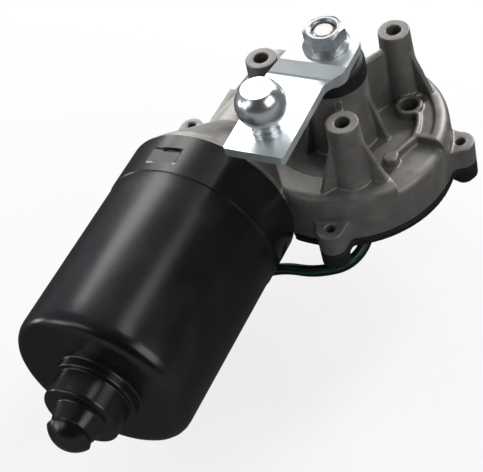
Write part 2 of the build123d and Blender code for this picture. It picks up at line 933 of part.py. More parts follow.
bore_r = shaft_r + running_gap
with BuildPart() as rear_bush:
    with BuildSketch(motor_side):
        bush_section(rear_bush_x)
    revolve(axis=motor_axis)
keep(rear_bush.part, "rear_bush")

with BuildPart() as front_bush:
    with BuildSketch(motor_side):
        bush_section(front_bush_x)
    revolve(axis=motor_axis)
keep(front_bush.part, "front_bush")


def clip_section(inner_x, outer_x, outer_r):
    """Half section of a coned spring ring that presses a bush into its seat."""
    closed_outline(
        [
            (inner_x, clip_inner_r),
            (inner_x + clip_t, clip_inner_r),
            (outer_x + clip_t, outer_r),
            (outer_x, outer_r),
        ]
    )


with BuildPart() as rear_clip:
    with BuildSketch(motor_side):
        clip_section(rear_bush_x + clip_inner_reach, rear_bush_x + clip_outer_reach, drum_inner_r)
    revolve(axis=motor_axis)
    with BuildSketch(across_motor(rear_bush_x)):
        with PolarLocations(clip_inner_r - clip_slot_overrun, clip_slots):
            Rectangle(clip_slot_length, clip_slot_width, align=(Align.MIN, Align.CENTER))
    extrude(amount=bush_length, mode=Mode.SUBTRACT)
keep(rear_clip.part, "rear_clip")

with BuildPart() as front_clip:
    with BuildSketch(motor_side):
        clip_section(
            front_bush_x - clip_inner_reach - clip_t,
            front_bush_x - clip_outer_reach - clip_t,
            front_clip_r,
        )
    revolve(axis=motor_axis)
    with BuildSketch(across_motor(front_bush_x - bush_length)):
        with PolarLocations(clip_inner_r - clip_slot_overrun, clip_slots):
            Rectangle(clip_slot_length, clip_slot_width, align=(Align.MIN, Align.CENTER))
    extrude(amount=bush_length, mode=Mode.SUBTRACT)
keep(front_clip.part, "front_clip")

with BuildPart() as oil_felt:
    felt_rear_x = nose_bore_x + felt_gap
    with BuildSketch(across_motor(felt_rear_x)):
        Circle(drum_inner_r)
        Circle(bush_sphere_r + felt_gap, mode=Mode.SUBTRACT)
    extrude(amount=felt_length)
keep(oil_felt.part, "oil_felt")

with BuildPart() as thrust_button:
    button_front_x = shaft_rear_x - thrust_gap
    button_r = waist_inner_r - felt_gap
    shelf_x = dome_x - sqrt(dome_inner_r**2 - button_r**2) + felt_gap
    nib_x = dome_x - sqrt(dome_inner_r**2 - button_nib_r**2)
    with BuildSketch(motor_side):
        closed_outline(
            [
                (nib_x, 0),
                (button_front_x, 0),
                (button_front_x, button_r),
                (shelf_x, button_r),
                (nib_x, button_nib_r),
            ]
        )
    revolve(axis=motor_axis)
keep(thrust_button.part, "thrust_button")

with BuildPart() as end_bush:
    with BuildSketch(across_motor(end_bush_x - end_bush_length / 2)):
        Circle(end_bush_r)
        Circle(bore_r, mode=Mode.SUBTRACT)
    extrude(amount=end_bush_length)
keep(end_bush.part, "end_bush")

with BuildPart() as thrust_screw:
    screw_x = shaft_front_x + thrust_gap
    with BuildSketch(across_motor(screw_x)):
        Circle(thrust_screw_r)
    extrude(amount=thrust_screw_length)
    with BuildSketch(across_motor(screw_x + thrust_screw_length)):
        Rectangle(2 * thrust_screw_r, thrust_slot_width)
    extrude(amount=-thrust_slot_depth, mode=Mode.SUBTRACT)
keep(thrust_screw.part, "thrust_screw")

with BuildPart() as lock_nut:
    with BuildSketch(across_motor(tunnel_end_x)):
        RegularPolygon(lock_nut_af / 2, 6, major_radius=False)
        Circle(thrust_screw_r, mode=Mode.SUBTRACT)
    extrude(amount=lock_nut_t)
keep(lock_nut.part, "lock_nut")

# ---------- brush gear ----------

pocket_axial = brush_axial + 2 * brush_gap
pocket_width = brush_width + 2 * brush_gap
brush_x = spigot_x + holder_wall + brush_gap + brush_axial / 2
brush_face_r = commutator_r + brush_contact_gap
brush_back_r = brush_face_r + brush_length
spring_seat_r = holder_outer_r - holder_wall

with BuildPart() as brush_card:
    with BuildSketch(across_motor(card_x)):
        Circle(card_r)
        Circle(card_bore_r, mode=Mode.SUBTRACT)
        with PolarLocations(card_screw_circle_r, 2, start_angle=card_screw_angle):
            Circle(card_screw_r, mode=Mode.SUBTRACT)
    extrude(amount=card_t)
keep(brush_card.part, "brush_card")

with BuildPart() as brush_holders:
    for angle in brush_angles.values():
        with BuildSketch(outward(angle, brush_x, holder_inner_r)):
            Rectangle(pocket_axial + 2 * holder_wall, pocket_width + 2 * holder_wall)
        extrude(amount=holder_outer_r - holder_inner_r)
        with BuildSketch(outward(angle, brush_x, holder_inner_r)):
            Rectangle(pocket_axial, pocket_width)
        extrude(amount=spring_seat_r - holder_inner_r, mode=Mode.SUBTRACT)
        # the slot for the brush's wire
        with BuildSketch(outward(angle, brush_x, holder_inner_r)):
            Rectangle(pocket_axial, holder_slot_width, align=(Align.MIN, Align.CENTER))
        extrude(amount=holder_slot_length, mode=Mode.SUBTRACT)
keep(brush_holders.part, "brush_holders")

spring_height = spring_seat_r - brush_back_r - spring_wire
for brush_name, angle in brush_angles.items():
    with BuildPart() as brush:
        with BuildSketch(outward(angle, brush_x, commutator_r - brush_contact_gap)):
            Rectangle(brush_axial, brush_width)
        extrude(amount=brush_back_r - commutator_r + brush_contact_gap)
        with BuildSketch(across_motor(spigot_x)):
            Circle(brush_face_r)
        extrude(amount=brush_axial + spring_seat_r, mode=Mode.SUBTRACT)
    keep(brush.part, f"brush_{brush_name}")

    with BuildPart() as spring:
        spring_foot = outward(angle, brush_x, brush_back_r + spring_wire / 2)
        with BuildLine() as coil:
            Helix(
                pitch=spring_height / spring_turns,
                height=spring_height,
                radius=spring_r,
                center=spring_foot.origin,
                direction=spring_foot.z_dir,
            )
        with BuildSketch(
            Plane(origin=coil.line @ 0, x_dir=spring_foot.z_dir, z_dir=coil.line % 0)
        ):
            Rectangle(spring_wire, spring_wire)
        sweep(path=coil.line, is_frenet=True)
    keep(spring.part, f"brush_spring_{brush_name}")

with BuildPart() as card_screws:
    with BuildSketch(across_motor(card_x)):
        with PolarLocations(card_screw_circle_r, 2, start_angle=card_screw_angle):
            Circle(card_screw_r)
    extrude(amount=card_screw_length)
    with BuildSketch(across_motor(card_x)):
        with PolarLocations(card_screw_circle_r, 2, start_angle=card_screw_angle):
            Circle(card_screw_head_r)
    extrude(amount=-card_screw_head_t)
    with BuildSketch(across_motor(card_x - card_screw_head_t)):
        with PolarLocations(card_screw_circle_r, 2, start_angle=card_screw_angle):
            Rectangle(2 * card_screw_head_r, screw_slot_width)
    extrude(amount=screw_slot_depth, mode=Mode.SUBTRACT)
keep(card_screws.part, "card_screws")

with BuildPart() as suppression_chokes:
    # two coils on ferrite rods, each standing on the card by its wires
    choke_x = spigot_x + choke_r
    for angle in choke_angles:
        middle = outward(angle, choke_x, choke_circle_r)
        for length, radius in ((choke_length, choke_r), (choke_core_length, choke_core_r)):
            with BuildSketch(Plane(origin=middle.origin, x_dir=(1, 0, 0), z_dir=middle.y_dir)):
                Circle(radius)
            extrude(amount=length / 2, both=True)
        with BuildSketch(across_motor(spigot_x)):
            with PolarLocations(choke_circle_r, 1, start_angle=angle):
                with GridLocations(0, choke_core_length - 2 * choke_leg_inset, 1, 2):
                    Circle(choke_leg_r)
        extrude(amount=choke_r)
keep(suppression_chokes.part, "suppression_chokes")

# ---------- output shaft, wheel and seals ----------

foot_z = joint_z + output_foot_height
washer_z = column_top_z + washer_gap
circlip_z = washer_z + washer_t
thread_top_z = arm_top_z + thread_length
groove_r = output_r - circlip_depth

with BuildPart() as output_shaft:
    with BuildSketch(Plane.XZ):
        closed_outline(
            [
                (0, foot_z),
                (output_r, foot_z),
                (output_r, circlip_z),
                (groove_r, circlip_z),
                (groove_r, circlip_z + circlip_t),
                (output_r, circlip_z + circlip_t),
                (output_r, arm_z),
                (taper_bottom_r, arm_z),
                (taper_top_r, arm_top_z),
                (thread_r, arm_top_z),
                (thread_r, thread_top_z),
                (0, thread_top_z),
            ]
        )
    revolve(axis=Axis.Z)
    chamfer(output_shaft.edges().sort_by(Axis.Z)[-1], thread_chamfer)
keep(output_shaft.part, "output_shaft")

gap_half_width = (pi * gear_module + tooth_backlash) / 4 * cos(lead_slope)
gap_flank = tan(radians(pressure_angle) + gap_half_width / wheel_pitch_r)
gap_low = tooth_dedendum
gap_high = tooth_dedendum + tooth_overrun

with BuildPart() as tooth_gap:
    gap_plane = Plane(
        origin=(0, wheel_pitch_r, motor_z),
        x_dir=(cos(lead_slope), 0, sin(lead_slope)),
        z_dir=(-sin(lead_slope), 0, cos(lead_slope)),
    )
    with BuildSketch(gap_plane):
        closed_outline(
            [
                (-gap_half_width + gap_flank * gap_low, -gap_low),
                (gap_half_width - gap_flank * gap_low, -gap_low),
                (gap_half_width + gap_flank * gap_high, gap_high),
                (-gap_half_width - gap_flank * gap_high, gap_high),
            ]
        )
    extrude(amount=wheel_width, both=True)

rim_inner_r = wheel_root_r - wheel_rim
with BuildPart() as worm_wheel:
    with BuildSketch(Plane.XZ):
        closed_outline(
            [
                (output_r, wheel_low_z),
                (wheel_hub_r, wheel_low_z),
                (wheel_hub_r, wheel_low_z + wheel_web_inset),
                (rim_inner_r, wheel_low_z + wheel_web_inset),
                (rim_inner_r, wheel_low_z),
                (wheel_tip_r, wheel_low_z),
                (wheel_tip_r, wheel_top_z),
                (rim_inner_r, wheel_top_z),
                (rim_inner_r, wheel_top_z - wheel_web_inset),
                (wheel_hub_r, wheel_top_z - wheel_web_inset),
                (wheel_hub_r, wheel_top_z),
                (output_r, wheel_top_z),
            ]
        )
    revolve(axis=Axis.Z)
    with PolarLocations(0, wheel_teeth):
        add(tooth_gap.part, mode=Mode.SUBTRACT)
keep(worm_wheel.part, "worm_wheel")

disc_z = wheel_low_z + wheel_web_inset - disc_t
with BuildPart() as contact_disc:
    with BuildSketch(Plane.XY.offset(disc_z)):
        Circle(disc_outer_r)
        Circle(disc_inner_r, mode=Mode.SUBTRACT)
    extrude(amount=disc_t)
    # the park notch in the outer track, over the outermost leaf when the wiper is parked
    with BuildSketch(Plane.XY.offset(disc_z)):
        with BuildLine():
            CenterArc((0, 0), disc_outer_r, -90 - disc_gap_angle / 2, disc_gap_angle)
        trace(line_width=2 * disc_track_width)
    extrude(amount=disc_t, mode=Mode.SUBTRACT)
keep(contact_disc.part, "contact_disc")


def ring(name, low_z, length, outer_r, inner_r):
    """A plain ring on the output axis."""
    with BuildPart() as body:
        with BuildSketch(Plane.XY.offset(low_z)):
            Circle(outer_r)
            Circle(inner_r, mode=Mode.SUBTRACT)
        extrude(amount=length)
    keep(body.part, name)


output_bore_r = output_r + running_gap
washer_bore_r = output_r + washer_bore_gap
ring("lower_bush", ceiling_z, lower_bush_length, bush_r, output_bore_r)
ring("upper_bush", column_top_z - upper_bush_length, upper_bush_length, bush_r, output_bore_r)
ring("thrust_washer", wheel_top_z, washer_t, hub_washer_r, washer_bore_r)
ring("column_washer", washer_z, washer_t, washer_r, washer_bore_r)

with BuildPart() as circlip:
    with BuildSketch(Plane.XY.offset(circlip_z)):
        with BuildLine():
            CenterArc(
                (0, 0),
                (circlip_r + groove_r) / 2,
                circlip_open_at + circlip_open / 2,
                360 - circlip_open,
            )
        trace(line_width=circlip_r - groove_r)
    extrude(amount=circlip_t)
keep(circlip.part, "circlip")

cap_top_z = arm_z - cap_arm_gap
cap_inner_r = cap_r - cap_wall
cap_bore_r = output_r + cap_bore_gap
with BuildPart() as rubber_cap:
    with BuildSketch(Plane.XZ):
        with BuildLine():
            foot = Polyline(
                (cap_inner_r, column_top_z),
                (cap_r, column_top_z),
                (cap_r, cap_top_z - cap_round_r),
            )
            crown = RadiusArc(foot @ 1, (cap_r - cap_round_r, cap_top_z), -cap_round_r)
            Polyline(
                crown @ 1,
                (cap_bore_r, cap_top_z),
                (cap_bore_r, cap_top_z - cap_roof),
                (cap_inner_r, cap_top_z - cap_roof),
                (cap_inner_r, column_top_z),
            )
        make_face()
    revolve(axis=Axis.Z)
keep(rubber_cap.part, "rubber_cap")

# ---------- crank arm, ball stud and nut ----------

bend_angle = atan(arm_drop / (bend_end - bend_start))
bend_shift = arm_t * tan(bend_angle / 2) / 2
stud_turn = radians(crank_angle)
stud_x = ball_distance * cos(stud_turn)
stud_y = ball_distance * sin(stud_turn)
strip_turn = radians(strip_angle)
strip_middle = -ball_distance * sin(strip_turn - stud_turn) - strip_shift
strip_side = strip_middle + arm_half_width
strip_far_side = strip_middle - arm_half_width
arm_end = ball_distance * cos(strip_turn - stud_turn) + arm_end_reach
with BuildPart() as crank_arm:
    # side view of the cranked strip, square to its bends
    with BuildSketch(upright(strip_angle)) as arm_profile:
        closed_outline(
            [
                (-2 * arm_head_r, arm_z),
                (bend_start - bend_shift, arm_z),
                (bend_end - bend_shift, arm_low_z),
                (arm_end, arm_low_z),
                (arm_end, arm_shelf_z),
                (bend_end + bend_shift, arm_shelf_z),
                (bend_start + bend_shift, arm_top_z),
                (-2 * arm_head_r, arm_top_z),
            ]
        )
        low_start, top_start, low_end, top_end = arm_profile.vertices().sort_by(Axis.X, True)[2:-2]
        fillet([low_start, top_end], arm_bend_r)
        fillet([top_start, low_end], arm_bend_r + arm_t)
    extrude(amount=2 * arm_head_r, both=True)
    # plan: round head, flare on one side and necked shoulder on the other, straight strip
    with BuildSketch(Plane.XY.offset(arm_low_z).rotated((0, 0, strip_angle))) as arm_plan:
        Circle(arm_head_r)
        closed_outline(
            [
                (0, -arm_head_r),
                (flare_reach, -flare_side),
                (flare_end_reach, strip_far_side),
                (arm_end, strip_far_side),
                (arm_end, strip_side),
                (neck_reach, strip_side),
                (shoulder_reach, arm_head_r),
                (0, arm_head_r),
            ]
        )
        for corner, corner_r in (
            ((flare_reach, -flare_side), flare_r),
            ((flare_end_reach, strip_far_side), flare_r),
            ((arm_end, strip_far_side), arm_corner_r),
            ((arm_end, strip_side), arm_corner_r),
            ((neck_reach, strip_side), neck_r),
            ((shoulder_reach, arm_head_r), shoulder_r),
        ):
            fillet(arm_plan.vertices().sort_by_distance(corner)[0], corner_r)
    extrude(amount=arm_drop + arm_t, mode=Mode.INTERSECT)
    # tapered bore for the shaft, plain hole for the stud
    with BuildSketch(Plane.XZ):
        closed_outline(
            [(0, arm_z), (taper_bottom_r, arm_z), (taper_top_r, arm_top_z), (0, arm_top_z)]
        )
    revolve(axis=Axis.Z, mode=Mode.SUBTRACT)
    with BuildSketch(Plane(origin=(stud_x, stud_y, arm_low_z))):
        Circle(stud_shank_r)
    extrude(amount=arm_t, mode=Mode.SUBTRACT)
keep(crank_arm.part, "crank_arm")

ball_flat_z = ball_z + sqrt(ball_r**2 - ball_flat_r**2)
neck_top_z = ball_z - sqrt(ball_r**2 - stud_neck_r**2)
with BuildPart() as ball_stud:
    with BuildSketch(upright(crank_angle, stud_x, stud_y)):
        with BuildLine():
            stem = Polyline(
                (0, ball_flat_z),
                (0, arm_low_z - rivet_head_t),
                (rivet_head_r, arm_low_z - rivet_head_t),
                (rivet_head_r, arm_low_z),
                (stud_shank_r, arm_low_z),
                (stud_shank_r, arm_shelf_z),
                (stud_collar_r, arm_shelf_z),
                (stud_collar_r, arm_shelf_z + stud_collar_t),
                (stud_neck_r, arm_shelf_z + stud_collar_t),
                (stud_neck_r, neck_top_z),
            )
            cheek = ThreePointArc(stem @ 1, (ball_r, ball_z), (ball_flat_r, ball_flat_z))
            Line(cheek @ 1, stem @ 0)
        make_face()
    revolve(axis=Axis((stud_x, stud_y, 0), (0, 0, 1)))
keep(ball_stud.part, "ball_stud")

nut_top_z = arm_top_z + nut_height
nut_corner_r = nut_af / 2 / cos(pi / 6)
with BuildPart() as crank_nut:
    with BuildSketch(Plane.XY.offset(arm_top_z).rotated((0, 0, nut_turn))):
        RegularPolygon(nut_corner_r, 6)
    extrude(amount=nut_height)
    with BuildSketch(Plane.XZ):
        crown_drop = (nut_flange_r - nut_crown_r) * tan(radians(nut_crown_angle))
        closed_outline(
            [
                (0, arm_top_z),
                (nut_flange_r, arm_top_z),
                (nut_flange_r, nut_top_z - crown_drop),
                (nut_crown_r, nut_top_z),
                (0, nut_top_z),
            ]
        )
    revolve(axis=Axis.Z, mode=Mode.INTERSECT)
    with BuildSketch(Plane.XZ):
        closed_outline(
            [
                (0, arm_top_z),
                (nut_flange_r, arm_top_z),
                (nut_flange_r, arm_top_z + nut_flange_t),
                (nut_af / 2, arm_top_z + nut_skirt_t),
                (0, arm_top_z + nut_skirt_t),
            ]
        )
    revolve(axis=Axis.Z)
    with BuildSketch(Plane.XY.offset(arm_top_z)):
        Circle(thread_r)
    extrude(amount=nut_height, mode=Mode.SUBTRACT)
    mouth = crank_nut.edges().filter_by(GeomType.CIRCLE).group_by(Axis.Z)[-1].sort_by(SortBy.RADIUS)[0]
    chamfer(mouth, nut_mouth_r - thread_r)
keep(crank_nut.part, "crank_nut")

# ---------- cover, gasket, screws and parking switch ----------

cover_top_z = joint_z - gasket_t
cover_low_z = cover_top_z - cover_t
chamber_low_z = cover_low_z - chamber_depth
cover_flat_x = bell_face_x + cover_flat_gap
cover_flat_y = motor_y - bell_r - cover_flat_gap
ear_places = [(ear_circle_r, ear_angle) for ear_angle in ear_angles]


def cover_plan(hole_r):
    """Plan of the cover: round, with three screw ears and a flat beside the bell."""
    Circle(case_r)
    with Locations((cover_flat_x, cover_flat_y)):
        Rectangle(case_r, case_r, align=(Align.MAX, Align.MIN), mode=Mode.SUBTRACT)
    for circle_r, ear_angle in ear_places:
        with PolarLocations(circle_r, 1, start_angle=ear_angle):
            Circle(ear_r)
            Polygon(*ear_root, align=None)
    for circle_r, ear_angle in ear_places:
        with PolarLocations(circle_r, 1, start_angle=ear_angle):
            Circle(hole_r, mode=Mode.SUBTRACT)


with BuildPart() as cover_gasket:
    with BuildSketch(Plane.XY.offset(cover_top_z)):
        cover_plan(screw_r)
        Circle(cavity_r, mode=Mode.SUBTRACT)
    extrude(amount=gasket_t)
keep(cover_gasket.part, "cover_gasket")

grommet_turn = radians(lead_angle)
grommet_axis = (cos(grommet_turn), sin(grommet_turn), 0)


def along_lead(reach):
    """A plane square to the grommet at this distance from the chamber's axis."""
    x = chamber_x + reach * cos(grommet_turn)
    y = chamber_y + reach * sin(grommet_turn)
    return Plane(origin=(x, y, joint_z - lead_drop), x_dir=(0, 0, 1), z_dir=grommet_axis)


with BuildPart() as gear_cover:
    with BuildSketch(Plane.XY.offset(cover_top_z)):
        cover_plan(screw_r)
    extrude(amount=-cover_t)
    with BuildSketch(Plane.XY.offset(cover_low_z)):
        with Locations((chamber_x, chamber_y)):
            Circle(chamber_r)
    extrude(amount=-chamber_depth)
    fillet(gear_cover.edges().group_by(Axis.Z)[0], chamber_round_r)
    for circle_r, ear_angle in ear_places:
        with BuildSketch(Plane.XY.offset(cover_low_z).rotated((0, 0, ear_angle))):
            with Locations((circle_r, 0)):
                Circle(ear_r)
                Circle(screw_r, mode=Mode.SUBTRACT)
        extrude(amount=-cover_ear_drop)
    with BuildSketch(Plane.XY.offset(cover_top_z)):
        with Locations((chamber_x, chamber_y)):
            Circle(chamber_r - chamber_wall)
    extrude(amount=chamber_low_z + chamber_wall - cover_top_z, mode=Mode.SUBTRACT)
    with BuildSketch(along_lead(0)):
        Circle(grommet_r)
    extrude(amount=chamber_r, mode=Mode.SUBTRACT)
keep(gear_cover.part, "gear_cover")


with BuildPart() as cover_screws:
    for circle_r, ear_angle in ear_places:
        ear_plane = Plane.XY.offset(cover_low_z - cover_ear_drop).rotated((0, 0, ear_angle))
        with BuildSketch(ear_plane):
            with Locations((circle_r, 0)):
                Circle(screw_r)
        extrude(amount=cover_screw_length)
        with BuildSketch(ear_plane):
            with Locations((circle_r, 0)):
                Circle(screw_head_r)
        extrude(amount=-screw_head_t)
        with BuildSketch(ear_plane.offset(-screw_head_t)):
            with Locations((circle_r, 0)):
                Rectangle(2 * screw_head_r, screw_slot_width)
        extrude(amount=screw_slot_depth, mode=Mode.SUBTRACT)
keep(cover_screws.part, "cover_screws")

with BuildPart() as contact_plate:
    with BuildSketch(Plane.XY.offset(cover_top_z)):
        with Locations((plate_from_x, plate_from_y)):
            Rectangle(
                plate_to_x - plate_from_x,
                plate_to_y - plate_from_y,
                align=(Align.MIN, Align.MIN),
            )
    extrude(amount=plate_t)
keep(contact_plate.part, "contact_plate")

plate_top_z = cover_top_z + plate_t
leaf_top_z = disc_z - leaf_gap
# the outermost leaf runs in the middle of the outer track
leaf_outer_r = disc_outer_r - disc_track_width / 2
with BuildPart() as leaf_contacts:
    tip_x = leaf_tip_length / 2
    knee_x = -tip_x
    heel_x = knee_x - leaf_slope_length
    for leaf_number in (2, 1, 0):
        with BuildSketch(upright(0, 0, leaf_number * leaf_pitch - leaf_outer_r)):
            closed_outline(
                [
                    (heel_x - leaf_foot_length, plate_top_z),
                    (heel_x, plate_top_z),
                    (knee_x, leaf_top_z - leaf_t),
                    (tip_x, leaf_top_z - leaf_t),
                    (tip_x, leaf_top_z),
                    (knee_x, leaf_top_z),
                    (heel_x, plate_top_z + leaf_t),
                    (heel_x - leaf_foot_length, plate_top_z + leaf_t),
                ]
            )
        extrude(amount=leaf_width / 2, both=True)
keep(leaf_contacts.part, "leaf_contacts")

# ---------- grommet, lead and plug ----------

with BuildPart() as lead_grommet:
    with BuildSketch(along_lead(chamber_r - chamber_wall)):
        Circle(grommet_flange_r)
    extrude(amount=chamber_wall + grommet_flange_t)
    with BuildSketch(Plane.XY.offset(chamber_low_z)):
        with Locations((chamber_x, chamber_y)):
            Circle(chamber_r)
    extrude(amount=chamber_depth, mode=Mode.SUBTRACT)
    with BuildSketch(along_lead(chamber_r - chamber_wall)):
        Circle(grommet_r)
    extrude(amount=chamber_wall)
keep(lead_grommet.part, "lead_grommet")

lead_start = along_lead(chamber_r + grommet_flange_t).origin
green_start = lead_start + Vector(0, 0, green_wire_rise)
sleeve_points = [lead_start] + [Vector(x, y, joint_z + h) for x, y, h in sleeve_route]
green_points = [green_start] + [Vector(x, y, joint_z + h) for x, y, h in green_route]


def bend_radii(points):
    """The largest tidy radius at each inner point of the route."""
    radii = []
    for before, here, after in zip(points, points[1:], points[2:]):
        come = here - before
        go = after - here
        half_turn = radians(come.get_angle(go)) / 2
        radii.append(bend_share * min(come.length, go.length) / tan(half_turn))
    return radii


for cord_name, points, cord_r in (
    ("lead_sleeve", sleeve_points, sleeve_r),
    ("lead_green", green_points, green_wire_r),
):
    radii = bend_radii(points)
    with BuildPart() as cord:
        with BuildLine() as cord_path:
            FilletPolyline(*points, radius=radii)
        with BuildSketch(Plane(origin=cord_path.line @ 0, z_dir=cord_path.line % 0)):
            Circle(cord_r)
        sweep(path=cord_path.line)
    swept = pi * cord_r**2 * cord_path.wires()[0].length
    print(cord_name, "bend radii", [round(radius, 1) for radius in radii])
    print(cord_name, "volume over section times length", round(cord.part.volume / swept, 4))
    keep(cord.part, cord_name)

plug_rear = Plane(origin=sleeve_points[-1], x_dir=(0, 1, 0), z_dir=(-1, 0, 0))
plug_mouth = plug_rear.offset(plug_length)
with BuildPart() as lead_plug:
    with BuildSketch(plug_rear):
        RectangleRounded(plug_width, plug_height, plug_round_r)
    extrude(amount=plug_length)
    with BuildSketch(plug_mouth):
        Rectangle(plug_width - 2 * plug_wall, plug_height - 2 * plug_wall)
    extrude(amount=-plug_depth, mode=Mode.SUBTRACT)
    with BuildSketch(plug_mouth):
        with Locations((0, plug_height / 2)):
            Rectangle(latch_width, latch_height, align=(Align.CENTER, Align.MIN))
    extrude(amount=-latch_length)
keep(lead_plug.part, "lead_plug")

with BuildPart() as plug_terminals:
    with BuildSketch(plug_mouth.offset(-plug_depth)):
        with GridLocations(blade_spacing_y, blade_spacing_z, 2, 2):
            Rectangle(blade_width, blade_t)
    extrude(amount=blade_length)
keep(plug_terminals.part, "plug_terminals")
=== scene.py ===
import json
import math
import bmesh
import bpy
from mathutils import Matrix, Vector


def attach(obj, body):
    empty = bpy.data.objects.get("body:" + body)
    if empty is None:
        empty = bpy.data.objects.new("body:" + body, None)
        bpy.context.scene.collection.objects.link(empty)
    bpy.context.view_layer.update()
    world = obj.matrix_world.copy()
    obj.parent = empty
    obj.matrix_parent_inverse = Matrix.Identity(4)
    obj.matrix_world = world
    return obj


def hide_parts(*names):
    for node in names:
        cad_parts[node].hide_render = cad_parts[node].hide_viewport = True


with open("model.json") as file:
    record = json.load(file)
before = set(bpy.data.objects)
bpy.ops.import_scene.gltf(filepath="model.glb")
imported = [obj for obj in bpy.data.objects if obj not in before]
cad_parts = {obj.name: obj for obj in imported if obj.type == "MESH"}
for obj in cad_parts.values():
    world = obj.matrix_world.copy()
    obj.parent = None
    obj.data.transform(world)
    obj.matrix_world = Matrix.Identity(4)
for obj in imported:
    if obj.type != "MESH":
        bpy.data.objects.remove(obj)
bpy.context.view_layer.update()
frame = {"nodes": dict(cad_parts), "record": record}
nodes = frame["nodes"]
scene = bpy.context.scene
mm = 0.001
weld = 0.002 * mm  # points of a CAD mesh nearer than this are one point

joint = {"z": -43.0 * mm}  # plane between the gear housing and its cover
motor = {"y": 35.0 * mm, "z": -34.3 * mm}  # the motor axis, along X


# small helpers

def hexColour(code):  # sRGB hex to linear
    parts = [int(code[i:i + 2], 16) / 255 for i in (1, 3, 5)]
    linear = [c / 12.92 if c <= 0.04045 else ((c + 0.055) / 1.055) ** 2.4 for c in parts]
    return (*linear, 1.0)


def addNode(tree, kind, settings=None, links=None):
    node = tree.nodes.new(kind)
    for key, value in (settings or {}).items():
        if isinstance(key, str) and hasattr(node, key):
            setattr(node, key, value)
        else:
            node.inputs[key].default_value = value
    for key, source in (links or {}).items():
        tree.links.new(source, node.inputs[key])
    return node


def perMm(size):  # texture scale for a pattern of this size in millimetres
    return 1.0 / (size * mm)


def linkedObject(name, mesh):
    obj = bpy.data.objects.new(name, mesh)
    scene.collection.objects.link(obj)
    return obj


def place(obj, slot, body, replaced):
    obj.data.materials.clear()
    obj.data.materials.append(materials[slot])
    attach(obj, body)
    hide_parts(replaced)


def evaluatedMesh(obj, name):  # the finished mesh, with the modifiers taken in
    graph = bpy.context.evaluated_depsgraph_get()
    graph.update()
    mesh = bpy.data.meshes.new_from_object(obj.evaluated_get(graph))
    mesh.name = name
    obj.modifiers.clear()
    obj.data = mesh


def mergedCopy(nodeName, pieceName):
    bm = bmesh.new()
    bm.from_mesh(nodes[nodeName].data)
    bmesh.ops.remove_doubles(bm, verts=bm.verts, dist=weld)
    bmesh.ops.dissolve_degenerate(bm, edges=bm.edges, dist=weld / 2)
    mesh = bpy.data.meshes.new(pieceName)
    bm.to_mesh(mesh)
    bm.free()
    return linkedObject(pieceName, mesh)


def smoothByAngle(obj, angle):
    mesh = obj.data
    bm = bmesh.new()
    bm.from_mesh(mesh)
    limit = math.radians(angle)
    for face in bm.faces:
        face.smooth = True
    for edge in bm.edges:
        edge.smooth = len(edge.link_faces) == 2 and edge.calc_face_angle(0) < limit
    bm.to_mesh(mesh)
    bm.free()


def roundedProfile(points, steps=6):  # an open chain of (along, radius, fillet radius) in mm
    out = [Vector(points[0][:2])]
    for first, middle, last in zip(points, points[1:], points[2:]):
        here = Vector(middle[:2])
        come, go = here - Vector(first[:2]), Vector(last[:2]) - here
        if not middle[2] or come.length < 1e-6 or go.length < 1e-6:
            out.append(here)
            continue
        turn = come.angle(go)
        cut = min(middle[2] * math.tan(turn / 2), 0.48 * come.length, 0.48 * go.length)
        start = here - come.normalized() * cut
        end = here + go.normalized() * cut
        for step in range(steps + 1):
            t = step / steps
            out.append(start * (1 - t) ** 2 + here * 2 * t * (1 - t) + end * t ** 2)
    return out + [Vector(points[-1][:2])]


def latheMesh(name, profile, segments, toPlace, shift=None):
    # closed profile of (along, radius) in mm, turned round the axis; toPlace maps it into the frame
    bm = bmesh.new()
    rings = []
    for along, radius in profile:
        if abs(radius) < 1e-6:
            rings.append([bm.verts.new(toPlace @ Vector((along * mm, 0, 0)))])
            continue
        ring = []
        for s in range(segments):
            turn = 2 * math.pi * s / segments
            r = radius if shift is None else radius + shift(along, radius, turn)
            spot = Vector((along * mm, r * mm * math.cos(turn), r * mm * math.sin(turn)))
            ring.append(bm.verts.new(toPlace @ spot))
        rings.append(ring)
    for a, b in zip(rings, rings[1:] + rings[:1]):
        if len(a) == 1 and len(b) == 1:
            continue
        for s in range(segments):
            n = (s + 1) % segments
            if len(a) == 1:
                bm.faces.new((a[0], b[n], b[s]))
            elif len(b) == 1:
                bm.faces.new((a[s], a[n], b[0]))
            else:
                bm.faces.new((a[s], a[n], b[n], b[s]))
    bmesh.ops.recalc_face_normals(bm, faces=bm.faces)
    mesh = bpy.data.meshes.new(name)
    bm.to_mesh(mesh)
    bm.free()
    return linkedObject(name, mesh)


alongMotor = Matrix.Translation((0, motor["y"], motor["z"]))  # profile axis on +X
standing = Matrix(((0, 1, 0, 0), (0, 0, 1, 0), (1, 0, 0, 0), (0, 0, 0, 1)))  # profile axis on +Z


# camera

view = {
    "aim": (-0.05225, 0.01457, -0.0286),
    "distance": 0.45329,
    "azimuth": -52.272,
    "elevation": 46.15,
    "roll": -16.88,
    "lens": 105.01,
    "sensor": 36.0,
}

